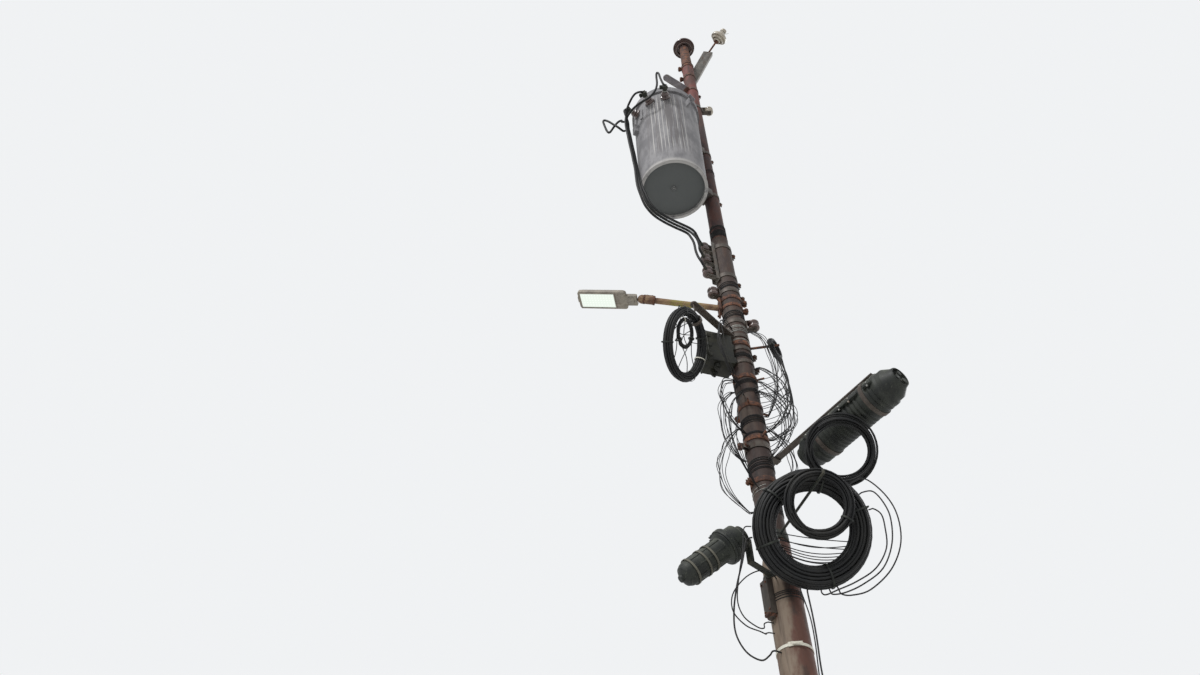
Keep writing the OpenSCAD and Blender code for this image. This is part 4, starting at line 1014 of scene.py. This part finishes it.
# %% [markdown]
# The rack and the clevises hold porcelain spools. A spool has two rounded rims with a groove
# between, and a hole for its bolt, so its profile is a closed loop.
# %% Spools
def spool():
    half, high = 0.038, 0.07
    profile = [
        (0.0084, 0), (0.027, 0), (half, 0.14 * high), (half, 0.28 * high), (0.025, 0.42 * high),
        (0.025, 0.58 * high), (half, 0.72 * high), (half, 0.86 * high), (0.027, high),
        (0.0084, high),
    ]
    return lathe([(r, h - high / 2) for r, h in profile], 40, 0.003, 3, closed=True)


RACK_L, RACK_REACH, CLEVIS_REACH = 0.45, MIDDLE_R + BAND_OUT + 0.074, 0.12185
rack_places = [at_pole(7.15, 205, RACK_REACH, 0.075 + 0.15 * k - RACK_L) for k in range(3)]
SPOOLS = {
    "rack_spools": (BROWN, rack_places),
    "left_spool": (BROWN, [at_pole(6.57, 197, CLEVIS_REACH)]),
    "right_spool": (BROWN, [at_pole(6.23, 352, CLEVIS_REACH)]),
    "service_spool": (PALE, [at_pole(9.46, 0, 0.128)]),
}
for name, (look, places) in SPOOLS.items():
    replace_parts(build(name + "_glazed", *look, (spool(), *places)), name)

# %% [markdown]
# The transformer's three small bushings look out of its front near the top, and a lead is
# bolted to each. Its two tall bushings stand on the cover, out of sight from below. They are
# spun like the insulators, and the metal studs, eyes and clamps are pieces of their own,
# because they take another finish.
# %% Bushings
TANK_R, TANK_ANGLE, TANK_TOP = 0.27, 216, 8.8
TANK_REACH = UPPER_R + 0.079 + TANK_R
LV_Z, LV_SEAT = TANK_TOP - 0.16, TANK_R + 0.006 + CLEAR
SHEDS = 5


def at_tank(z, angle=0.0, reach=0.0):
    middle = at_pole(z, TANK_ANGLE, TANK_REACH) @ turned(z=-TANK_ANGLE)
    return middle @ turned(z=angle) @ moved(reach)


low_profile = [
    (0, 0), (0.042, 0), (0.042, 0.01), (0.03, 0.015), (0.029, 0.025), (0.035, 0.029),
    (0.035, 0.034), (0.027, 0.038), (0.025, 0.05), (0, 0.05),
]
lv_places = [at_tank(LV_Z, a, LV_SEAT) @ ALONG_X for a in (206, 237, 265)]
low = build("lv_bushings_glazed", *BROWN, (lathe(low_profile, 40, 0.0025), *lv_places))
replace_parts(low, "lv_bushings")

high_profile = [(0, 0), (0.059, 0), (0.059, 0.013), (0.042, 0.018)]
for k in range(SHEDS):
    base, core, edge = 0.05 + 0.046 * k, 0.041 - 0.0022 * k, 0.061 - 0.003 * k
    high_profile += [
        (core, base - 0.006), (edge, base + 0.001), (edge, base + 0.006),
        (core - 0.001, base + 0.02),
    ]
high_profile += [(0.03, 0.3), (0, 0.3)]
hv_places = [at_tank(TANK_TOP + 0.0563, TANK_ANGLE + a, 0.135) for a in (-35, 145)]
tall = build("hv_bushings_glazed", *BROWN, (lathe(high_profile, 48, 0.003), *hv_places))
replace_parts(tall, "hv_bushings")


def off(places, x=0, y=0, z=0):
    return [place @ moved(x, y, z) for place in places]


cap = [
    (0, 0.298), (0.034, 0.298), (0.034, 0.31), (0.025, 0.316), (0.025, 0.326), (0.009, 0.33),
    (0.009, 0.37), (0, 0.37),
]
build(
    "bushing_terminals", *ZINC,
    (rod(0.011, 0.034), *off(lv_places, z=0.05)),
    (hexagon(0.03, 0.011), *off(lv_places, z=0.05)),
    (hexagon(0.026, 0.009), *off(lv_places, z=0.064)),
    (hoop(0.011, 0.019, 0.003), *off(lv_places, z=0.0628)),
    (lathe(cap, 32, 0.0015), *hv_places),
    (hexagon(0.03, 0.012), *off(hv_places, z=0.336)),
)


# %% [markdown]
# A dark bronze connector is bolted on each stud of the front, and takes its lead from the
# side. It is a rounded block with a stub and three bolts. A sleeve with a narrow collar
# closes each end of a lead.
# %% Connectors and sleeves
def start_of(line):
    """The first place on a line of points, with local Z running along it."""
    way = (line[1] - line[0]).normalized()
    return Matrix.Translation(line[0]) @ way.to_track_quat("Z", "Y").to_matrix().to_4x4()


side_bolts = [
    p @ moved(x, 0.0188, 0.09) @ turned(x=-90) for p in lv_places for x in (-0.013, 0.013)
]
build(
    "lead_connectors", *BRONZE,
    (block((0.05, 0.038, 0.04), 0.005, 3), *off(lv_places, z=0.088)),
    (block((0.03, 0.026, 0.026), 0.004, 3), *off(lv_places, -0.004, -0.03, 0.09)),
    (hexagon(0.013, 0.007), *side_bolts),
    (hexagon(0.013, 0.007), *off(lv_places, 0, -0.03, 0.1028)),
)

sleeve = [
    (0.0087, -0.004), (0.0116, -0.002), (0.0116, 0.016), (0.0102, 0.018), (0.0102, 0.03),
    (0.0087, 0.032),
]
lines = [smooth(r) for r in LEADS]
ends = [start_of(line) for line in lines] + [start_of(line[::-1]) for line in lines]
build("lead_sleeves", *BRONZE, (lathe(sleeve, 24, 0.0008, closed=True), *ends))


# %% [markdown]
# The tank is welded up from sheet, so a bead runs around its lower rim and under its cover
# band. A real bead is a row of overlapping ripples. A fine hoop with a slow in and out on its
# radius is enough at this size. The plug in the bottom gets its six-sided head, and a plain
# strip is welded on the front. Beads of the same kind close the necks of the pole's tubes.
# %% Weld beads, strip and drain plug
def bead(radius, thick, ripples, seed):
    bm = bmesh.new()
    bmesh.ops.create_circle(bm, segments=8, radius=thick / 2)
    bmesh.ops.transform(bm, matrix=moved(radius) @ turned(x=90), verts=bm.verts)
    spun(bm, ripples * 2)
    for v in bm.verts:
        turn = round(math.atan2(v.co.y, v.co.x) / math.tau * ripples * 2) % (ripples * 2)
        swell = 1 + (0.0012 if turn % 2 else -0.0006) * thick / 0.006 / radius * 0.25
        v.co.x, v.co.y = v.co.x * swell, v.co.y * swell
        v.co.z += math.sin(turn * 0.37 + seed) * thick * 0.12
    return bm


build(
    "tank_beads_and_plug", tank_paint, "transformer_paint",
    (bead(0.2565, 0.006, 110, 1), at_tank(TANK_FOOT)),
    (bead(0.2698, 0.005, 110, 2), at_tank(8.745)),
    (block((0.012, 0.028, 0.15), 0.003), at_tank(8.56, 216, 0.2715)),
    (hexagon(0.022, 0.012), at_tank(7.611)),
    (hoop(0.012, 0.02, 0.004), at_tank(7.6215)),
)
build(
    "pole_weld_beads", rusty_hardware, "weathered_steel",
    (bead(0.0598, 0.007, 40, 3), moved(z=7.2415)),
    (bead(0.0725, 0.008, 48, 4), moved(z=4.4515)),
    (bead(0.0612, 0.006, 40, 5), moved(z=10.458)),
)

# %% [markdown]
# Every band is closed by a bolt through its two lugs. The CAD model has the bolts, and a nut,
# a head and their washers go on here. The list gives each band's height, the direction of its
# lugs and the radius of the tube it grips.
# %% Nuts and bolt heads
BAND_T, LUG_OUT = 0.005, 0.0187
BANDS = [
    (10.425, 180, UPPER_R), (10.175, 180, UPPER_R), (9.85, 32, UPPER_R), (9.46, 180, UPPER_R),
    (8.55, 36, UPPER_R), (7.85, 36, UPPER_R), (7.105, 25, MIDDLE_R), (6.745, 25, MIDDLE_R),
    (6.57, 17, MIDDLE_R), (6.23, 172, MIDDLE_R), (6.404, 0, MIDDLE_R), (6.488, 0, MIDDLE_R),
    (5.825, 15, MIDDLE_R), (5.95, 15, MIDDLE_R), (6.074, 46, MIDDLE_R), (6.0033, 90.2, MIDDLE_R),
    (5.69, 100, MIDDLE_R), (5.44, 135, MIDDLE_R), (5.172, 170, MIDDLE_R), (4.86, 205, MIDDLE_R),
    (5.1133, 213.3, MIDDLE_R), (4.4895, 107.9, MIDDLE_R), (4.25, 42.3, LOWER_R),
]
bolts = [at_pole(height, lug, radius + CLEAR + BAND_T + LUG_OUT) for height, lug, radius in BANDS]
sides = [bolt @ turned(x=a) @ moved(z=0.0111) for bolt in bolts for a in (-90, 90)]
build(
    "band_nuts", *RUSTY,
    (hoop(0.0082, 0.0145, 0.002, 0.0004, 20), *off(sides, z=0.001)),
    (hexagon(0.024, 0.0085), *off(sides, z=0.002)),
)

# %% [markdown]
# The in-line closure is a black shell of two halves that hangs below a flat bar. Its ribs
# stiffen it, a bolted flange runs along each side where the halves meet, and each end has a
# recessed face with three cable nozzles. The ribs are steps in the spun profile. They leave
# two plain lands, where the straps go round.
# %% The in-line closure
CLOSURE_L, CLOSURE_R = 0.718, 0.098
CLOSURE_PLACE = moved(0.228, -0.1, 4.977) @ turned(z=-56.7)
STRAP_LANDS = [(0.162, 0.202), (0.512, 0.552)]
RIB_PITCH = 0.026


def closure_shell():
    r, l = CLOSURE_R, CLOSURE_L
    nose = [
        (0.0, 0.016), (0.5 * r, 0.016), (0.53 * r, 0.0), (0.58 * r, 0.0), (0.64 * r, 0.02),
        (0.92 * r, 0.06), (0.92 * r, 0.09), (r, 0.1),
    ]
    profile = nose[:]
    place = 0.112
    while place < l - 0.118:
        if not any(a - 0.014 < place < b for a, b in STRAP_LANDS):
            groove = (place + 0.003, place + 0.011)
            profile += [(r, place), *[(r - 0.005, h) for h in groove], (r, place + 0.014)]
        place += RIB_PITCH
    profile += [(x, l - h) for x, h in nose[::-1]]
    return lathe(profile, 64, 0.0014, 1)


nozzle = [
    (0.0, 0.0), (0.015, 0.0), (0.015, 0.003), (0.012, 0.006), (0.0155, 0.01), (0.0155, 0.024),
    (0.0, 0.024),
]
faces = [CLOSURE_PLACE @ ALONG_X, CLOSURE_PLACE @ moved(CLOSURE_L) @ turned(y=-90)]
spots = [f @ turned(z=a) @ moved(0.026) for f in faces for a in (0, 120, 240)]
flanges = [
    (
        block((end - start, 0.03, 0.016), 0.002),
        *[CLOSURE_PLACE @ moved((start + end) / 2) @ moved(y=s * 0.097) for s in (-1, 1)],
    )
    for start, end in [(0.106, 0.16), (0.204, 0.51), (0.554, 0.612)]
]
shell = build(
    "closure_shell", *BLACK, (closure_shell(), CLOSURE_PLACE @ ALONG_X),
    (lathe(nozzle, 24, 0.001), *spots), *flanges,
)
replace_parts(shell, "inline_closure")

seats = [
    CLOSURE_PLACE @ moved(x, s * 0.106, 0) @ turned(x=a)
    for x in (0.13, 0.24, 0.31, 0.38, 0.45, 0.585) for s in (-1, 1) for a in (0, 180)
]
build(
    "closure_bolts", *ZINC,
    (hexagon(0.011, 0.006), *off(seats, z=0.008)),
    (hexagon(0.016, 0.005), *[CLOSURE_PLACE @ moved(x + 0.012, 0, 0.1375) for x in (0.17, 0.52)]),
)

# %% [markdown]
# The dome closure is a tube with a round end, closed by a clamp ring at its base. Eight low
# ribs run along the tube below its three pale ties, and a small cap closes the valve at the
# tip. The ring is a hoop with a groove, and a bolt pulls its two ears together.
# %% The dome closure
DOME_PLACE = moved(-0.22, -0.2, 4.36) @ turned(z=180) @ turned(y=39) @ ALONG_X
dome = [
    (0, 0), (0.06, 0), (0.073, 0.012), (0.0736, 0.058), (0.082, 0.066), (0.082, 0.104),
    (0.063, 0.112), (0.0606, 0.12), (0.0606, 0.32), (0.0575, 0.342), (0.048, 0.36),
    (0.03, 0.37), (0.0175, 0.373), (0.0175, 0.384), (0.0155, 0.385), (0, 0.385),
]
ribs = [DOME_PLACE @ turned(z=22.5 + 45 * k) @ moved(0.0595, 0, 0.22) for k in range(8)]
ports = [
    DOME_PLACE @ turned(z=a) @ moved(0.036) @ turned(x=180) @ moved(z=-0.012)
    for a in (60, 180, 300)
]
shell = build(
    "dome_shell", *BLACK, (lathe(dome, 64, 0.003), DOME_PLACE),
    (block((0.0085, 0.007, 0.2), 0.0015), *ribs), (lathe(nozzle, 24, 0.001), *ports),
)
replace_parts(shell, "dome_closure")

ring = [
    (0.0822, 0.07), (0.0895, 0.07), (0.092, 0.076), (0.092, 0.08), (0.088, 0.085),
    (0.092, 0.09), (0.092, 0.094), (0.0895, 0.1), (0.0822, 0.1),
]
ears = DOME_PLACE @ turned(z=200) @ moved(0.098, 0, 0.085)
heads = [ears @ moved(0.003, s * 0.0125) @ turned(x=-90 * s) for s in (-1, 1)]
build(
    "dome_clamp_ring", *BLACK, (lathe(ring, 64, 0.001, closed=True), DOME_PLACE),
    (block((0.022, 0.007, 0.024), 0.0015), *[ears @ moved(y=s * 0.009) for s in (-1, 1)]),
    (rod(0.004, 0.044), ears @ moved(0.003, 0.022) @ turned(x=90)), (hexagon(0.012, 0.006), *heads),
)

# %% [markdown]
# The terminal box keeps its CAD outline with softer edges. Its door gets a raised panel, made
# by insetting the outer face and drawing it out, and its hinges are three knuckles on a pin.
# Each gland below the box is a ribbed nut with a rubber sleeve.
# %% The terminal box
BOX_PLACE, BOX_D = at_pole(5.78, 195, MIDDLE_R + BAND_OUT), 0.172
case = add_piece("terminal_box_case", softened("terminal_box", 0.004, 3), *OLIVE)
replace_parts(case, "terminal_box")

bm = softened("terminal_box_door", 0.003, 2)
outward = (BOX_PLACE.to_3x3() @ Vector((1, 0, 0))).normalized()
panel = max((f for f in bm.faces if f.normal.dot(outward) > 0.99), key=lambda f: f.calc_area())
bmesh.ops.inset_individual(bm, faces=[panel], thickness=0.014, depth=0)
bmesh.ops.inset_individual(bm, faces=[panel], thickness=0.003, depth=-0.003)
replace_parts(add_piece("terminal_box_lid", bm, *OLIVE), "terminal_box_door")

gland = [
    (0.0152, -0.034), (0.019, -0.034), (0.0205, -0.03), (0.0205, -0.018), (0.0175, -0.016),
    (0.0205, -0.012), (0.0205, -0.002), (0.0152, -0.002),
]
rubber = [(0, -0.052), (0.008, -0.052), (0.012, -0.034), (0, -0.034)]
glands = [BOX_PLACE @ moved(0.11, y) for y in (-0.028, 0.028)]
hinge = BOX_PLACE @ moved(BOX_D - 0.002, 0.0705, 0)
knuckles = []
for height in (0.04, 0.135, 0.23):
    knuckles.append((rod(0.006, 0.034, 0.0012), hinge @ moved(z=height - 0.017)))
    knuckles.append((block((0.026, 0.004, 0.03), 0.001), hinge @ moved(-0.012, -0.0035, height)))
feet = [BOX_PLACE @ moved(0, y, h) for y in (-0.052, 0.052) for h in (0.045, 0.17)]
build(
    "terminal_box_fittings", *OLIVE, (lathe(gland, 16, 0.0008, closed=True), *glands),
    (lathe(rubber, 20, 0.001), *glands), *knuckles,
    (rod(0.0032, 0.25, 0.001), hinge @ moved(z=0.01)), (block((0.03, 0.012, 0.05), 0.002), *feet),
)

# %% [markdown]
# The lamp's head has a square neck with a plate under it, and turns on a ball at the end of
# its clamp. A frame holds the lens, with a screw at each corner, low fins shed the heat, and
# a latch at the tip opens the cover. The frame starts as a flat grid of one face, is inset,
# and has its middle taken out and its rim given thickness.
# %% The lamp's head
ALONG_LAMP = moved(*LAMP_ROOT) @ turned(*LAMP_TURN)
HEAD = ALONG_LAMP @ moved(0.52) @ turned(y=11) @ turned(0, -15.5, -11) @ moved(0.0315)
LENS_FROM, LENS_TO, LENS_HALF, HEAD_T = 0.16, 0.408, 0.06, 0.046

head = add_piece("lamp_head", softened("lamp_housing", 0.006, 4, 55), *LAMP)
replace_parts(head, "lamp_housing")


def lens_frame():
    bm = bmesh.new()
    bmesh.ops.create_grid(bm, x_segments=1, y_segments=1, size=0.5)
    size = (LENS_TO - LENS_FROM + 0.016, 2 * LENS_HALF + 0.016, 1)
    bmesh.ops.scale(bm, vec=size, verts=bm.verts)
    middle = bm.faces[:]
    bmesh.ops.inset_individual(bm, faces=middle, thickness=0.012, depth=0)
    bmesh.ops.delete(bm, geom=middle, context="FACES")
    bmesh.ops.solidify(bm, geom=bm.faces[:], thickness=0.004)
    clean(bm)
    bevel(bm, [e for e in bm.edges if e.calc_face_angle(0) > 1], 0.0014)
    return bm


below = HEAD @ moved((LENS_FROM + LENS_TO) / 2, 0, -HEAD_T / 2)
screw = [(0, 0), (0.0035, 0), (0.003, 0.002), (0.001, 0.0022), (0.0008, 0.0012), (0, 0.0012)]
corners = [
    below @ moved(x, y, -0.0015) @ turned(x=180)
    for x in (-0.1265, 0.1265) for y in (-0.0623, 0.0623)
]
fins = [HEAD @ moved(0.245, 0.016 * k, 0.0265) for k in range(-3, 4)]
build(
    "lamp_head_trim", *LAMP, (lens_frame(), below @ moved(z=-0.0015)),
    (lathe(screw, 16), *corners), (block((0.2, 0.0045, 0.012), 0.0015), *fins),
    (block((0.012, 0.044, 0.016), 0.003), HEAD @ moved(0.427, 0, -0.01)),
    (block((0.044, 0.058, 0.004), 0.0015), HEAD @ moved(0.04, 0, -0.0245)),
)

grip = ALONG_LAMP @ moved(0.465, 0, 0.024)
ball_bolts = [grip @ moved(x, 0.0143, 0) @ turned(x=-90) for x in (-0.012, 0.02)]
rings = [ALONG_LAMP @ moved(x) @ ALONG_X for x in (0.437, 0.505)]
build(
    "lamp_clamp_bolts", *RUSTY,
    (hexagon(0.013, 0.008), *[grip @ moved(x, 0, 0.0145) for x in (-0.012, 0.02)]),
    (hexagon(0.013, 0.008), *ball_bolts), (hoop(0.0305, 0.0325, 0.012, 0.0008), *rings),
)

corners = [
    moved(-0.088, y, 6.446 + h) @ turned(y=-90) for y in (-0.034, 0.034) for h in (-0.048, 0.048)
]
build(
    "lamp_bracket_bolts", *RUSTY,
    (bead(0.0222, 0.006, 18, 7), moved(-0.0892, 0, 6.4467) @ turned(y=-90)),
    (hexagon(0.014, 0.008), *corners),
)

# %% [markdown]
# Wire is bound round the pole at many heights, dark where it is old and pale where it is new.
# Each binding is a spiral whose radius clears the tube by half the wire. Its turns wander up
# and down a little, and both ends are tucked under. A row gives a binding's first height, its
# turns, their pitch, the tube's radius, the wire's thickness and how far the binding tilts.
# %% Bindings round the pole
TUCK = 0.0006
BIND_STEPS = 36


def binding(height, turns, pitch, radius, wire, tilt, seed):
    rng = random.Random(seed)
    sway = [rng.uniform(-0.5, 0.5) * pitch for _ in range(turns + 2)]
    reach = radius + wire / 2 - TUCK
    turn = rng.uniform(0, math.tau)
    line = []
    for k in range(turns * BIND_STEPS + 1):
        whole, share = divmod(k / BIND_STEPS, 1)
        drift = sway[int(whole)] * (1 - share) + sway[int(whole) + 1] * share
        a = turn + math.tau * k / BIND_STEPS
        z = height + pitch * k / BIND_STEPS + drift + tilt * math.cos(a)
        line.append(Vector((reach * math.cos(a), reach * math.sin(a), z)))
    return line


DARK_BINDINGS = [
    (7.262, 9, 0.009, UPPER_R, 0.006, 0.0), (7.36, 4, 0.012, UPPER_R, 0.006, 0.006),
    (6.6, 5, 0.012, MIDDLE_R, 0.005, 0.008), (6.27, 5, 0.014, MIDDLE_R, 0.005, 0.007),
    (5.866, 5, 0.008, MIDDLE_R, 0.005, 0.004), (5.62, 4, 0.009, MIDDLE_R, 0.005, 0.006),
    (5.54, 4, 0.011, MIDDLE_R, 0.004, 0.009), (5.29, 6, 0.01, MIDDLE_R, 0.005, 0.008),
    (5.2, 3, 0.006, MIDDLE_R, 0.004, 0.0), (4.93, 8, 0.011, MIDDLE_R, 0.005, 0.008),
    (4.62, 7, 0.012, MIDDLE_R, 0.005, 0.01), (4.1, 4, 0.012, LOWER_R, 0.004, 0.01),
    (8.2, 3, 0.02, UPPER_R, 0.004, 0.01),
]
PALE_BINDINGS = [
    (6.105, 6, 0.0125, MIDDLE_R, 0.0045, 0.004), (6.03, 2, 0.008, MIDDLE_R, 0.004, 0.003),
    (4.78, 2, 0.02, MIDDLE_R, 0.004, 0.008),
]
dark_lines = [binding(*b, seed) for seed, b in enumerate(DARK_BINDINGS)]
pale_lines = [binding(*b, seed) for seed, b in enumerate(PALE_BINDINGS, 40)]
add_wires("pole_bindings_dark", dark_lines, 0.005, *WIRE, sides=6)
add_wires("pole_bindings_pale", pale_lines, 0.0042, *ZINC, sides=6)
print(len(dark_lines), "dark bindings and", len(pale_lines), "pale ones")


# %% [markdown]
# Ties keep each coil round. A tie is a flat hoop around the bundle with its head on the
# outside. Dark tape and pale nylon both occur, so the same shape takes two finishes.
# %% Ties on the coils
def coil_place(name):
    centre, way = COILS[name][:2]
    return moved(*centre) @ turned(*way)


def add_ties(title, look, width, ties):
    sets = []
    for name, angles in ties.items():
        radius, bundle = COILS[name][2:4]
        for angle in angles:
            place = coil_place(name) @ turned(z=angle) @ moved(radius) @ turned(x=90)
            band = hoop(bundle / 2 - 0.0008, bundle / 2 + 0.0012, width, 0.0005, 32)
            knot = block((0.008, 0.011, width * 0.9), 0.0012)
            sets += [(band, place), (knot, place @ turned(z=35) @ moved(bundle / 2 + 0.003))]
    build(title, *look, *sets)


add_ties("coil_ties_dark", BLACK, 0.009, {
    "wheel_coil_outer": (50, 130, 215, 300), "wheel_coil_inner": (20, 250),
    "big_coil": (20, 75, 140, 200, 285), "right_coil": (200,), "inner_coil": (330,),
    "upper_coil": (250,),
})
add_ties("coil_ties_pale", NYLON, 0.007, {"wheel_coil_inner": (120,), "wheel_coil_outer": (255,)})


# %% [markdown]
# Odd ends of thin wire cross the round coil on the left from ring to ring, and more hang in a
# fan from the small coil on the right, round to the pole. A few lie nearly level across the
# big coil. They are tied down at both ends. Each is a bowed line between two points: a share
# of its way is pushed aside by a half wave.
# %% Odd ends of wire
def bowed(a, b, push, steps=14):
    push = Vector(push)
    return [a.lerp(b, k / steps) + push * math.sin(math.pi * k / steps) for k in range(steps + 1)]


def ring_point(name, angle, out=0.0, up=0.0):
    r, a = COILS[name][2] + out, math.radians(angle)
    return coil_place(name) @ Vector((r * math.cos(a), r * math.sin(a), up))


def either(rng, most):
    return rng.uniform(-most, most)


WHEEL_SPOKES = [
    (10, 40), (65, 95), (100, 60), (150, 190), (185, 140), (230, 265), (275, 240), (310, 345),
    (345, 300),
]
POLE_SIDE = 0.0708
spokes = []
rng = random.Random(5)
for outer, inner in WHEEL_SPOKES:
    a = ring_point("wheel_coil_outer", outer, -0.02, either(rng, 0.01))
    b = ring_point("wheel_coil_inner", inner, 0.01, either(rng, 0.005))
    spokes.append(bowed(a, b, [either(rng, 0.018) for _ in range(3)]))
for first, last in [(20, 170), (75, 235), (140, 300), (215, 355)]:
    a, b = [ring_point("wheel_coil_inner", angle, -0.01) for angle in (first, last)]
    spokes.append(bowed(a, b, [either(rng, 0.03) for _ in range(3)]))
add_wires("wheel_coil_cross_wires", spokes, 0.0052, *WIRE, sides=8)

fan = []
for k in range(18):
    a = ring_point("right_coil", 215 + 7 * k, 0.012, either(rng, 0.014))
    angle = math.radians(-78 + 5.5 * k)
    height = 5.62 - 0.03 * k + either(rng, 0.02)
    b = Vector((POLE_SIDE * math.cos(angle), POLE_SIDE * math.sin(angle), height))
    push = (0.09 + 0.02 * rng.random(), -0.03 + 0.006 * k, -0.07 - 0.05 * rng.random())
    fan.append(bowed(a, b, push, 20))
add_wires("right_coil_fan", fan, 0.004, *WIRE, sides=8)

cuts = []
for k in range(9):
    a = ring_point("big_coil", 186 + 5 * k, -0.042, either(rng, 0.02))
    b = ring_point("big_coil", 340 - 6 * k, -0.042, either(rng, 0.02))
    cuts.append(bowed(a, b, (0, either(rng, 0.02), -0.016 - 0.004 * rng.random() * k), 18))
add_wires("big_coil_cross_wires", cuts, 0.0048, *WIRE, sides=8)

# %% [markdown]
# The riser at the pole's left edge ends in a dark clamp, and the pale strap below it has a
# buckle with a free end.
# %% Riser clamp and strap buckle
RISER = at_pole(4.03, 206, LOWER_R)
clamp_bolt = RISER @ moved(0.036, 0.015, -0.004) @ turned(x=-90)
screws = [RISER @ moved(0.03, y, h) @ turned(y=90) for y in (-0.019, 0.019) for h in (0.02, 0.17)]
build(
    "riser_clamp", *RUSTY, (hoop(0.0202, 0.0242, 0.02), RISER @ moved(0.01, 0, -0.004)),
    (block((0.014, 0.03, 0.016), 0.002), RISER @ moved(0.036, 0, -0.004)),
    (hexagon(0.012, 0.007), clamp_bolt), (hexagon(0.01, 0.005), *screws),
)

buckle = at_pole(3.857, 250, LOWER_R + 0.0045)
build(
    "strap_buckle", *NYLON, (block((0.006, 0.026, 0.022), 0.0015), buckle),
    (block((0.0016, 0.05, 0.012), 0.0005), buckle @ moved(0.0035, 0.03) @ turned(z=14)),
)

# %% [markdown]
# Against a bright sky the pole is nearly a shadow. Here it stands under plain studio light
# instead: a wide soft sun from the upper left, a weaker one from behind on the right, and a
# grey world that fills the shadows. The floor is pale, and the backdrop is pale only to the
# camera and to mirrors, so it adds no light of its own.
# %% Floor, lights and backdrop
FLOOR_RADIUS = 12
BACKDROP = 0.9
WORLD_LIGHT = 0.55

bm = bmesh.new()
bmesh.ops.create_circle(bm, cap_ends=True, segments=96, radius=FLOOR_RADIUS)
floor_mesh = bpy.data.meshes.new("floor")
bm.to_mesh(floor_mesh)
bm.free()
floor = bpy.data.objects.new("floor", floor_mesh)
scene.collection.objects.link(floor)
ground = Finish("floor_pale")
colour = ground.blend(ground.noise(1.5, 4.0), (214, 214, 212), (226, 226, 224))
floor_mesh.materials.append(ground.done(colour, 0.85))


def add_sun(name, strength, spread, way):
    sun = bpy.data.objects.new(name, bpy.data.lights.new(name, "SUN"))
    sun.data.energy = strength
    sun.data.angle = math.radians(spread)
    sun.rotation_euler = [math.radians(a) for a in way]
    scene.collection.objects.link(sun)


add_sun("key_sun", 2.4, 15, (52, 0, -38))
add_sun("back_sun", 0.8, 30, (-55, 0, -50))

world = bpy.data.worlds.new("studio")
world.use_nodes = True
scene.world = world
tree = world.node_tree
tree.nodes.clear()
KINDS = "LightPath Math Math Background Background MixShader OutputWorld"
path, first, seen, fill, drop, mixer, output = [
    tree.nodes.new("ShaderNode" + kind) for kind in KINDS.split()
]
first.operation = seen.operation = "MAXIMUM"
fill.inputs["Color"].default_value = (1, 1, 1, 1)
fill.inputs["Strength"].default_value = WORLD_LIGHT
drop.inputs["Color"].default_value = (0.97, 0.985, 1, 1)
drop.inputs["Strength"].default_value = BACKDROP
for socket, end in [
    (path.outputs["Is Camera Ray"], first.inputs[0]),
    (path.outputs["Is Glossy Ray"], first.inputs[1]),
    (first.outputs[0], seen.inputs[0]),
    (path.outputs["Is Transmission Ray"], seen.inputs[1]),
    (seen.outputs[0], mixer.inputs[0]),
    (fill.outputs[0], mixer.inputs[1]),
    (drop.outputs[0], mixer.inputs[2]),
    (mixer.outputs[0], output.inputs["Surface"]),
]:
    tree.links.new(socket, end)
scene.view_settings.view_transform = "Standard"
print("world light", WORLD_LIGHT, "backdrop", BACKDROP)
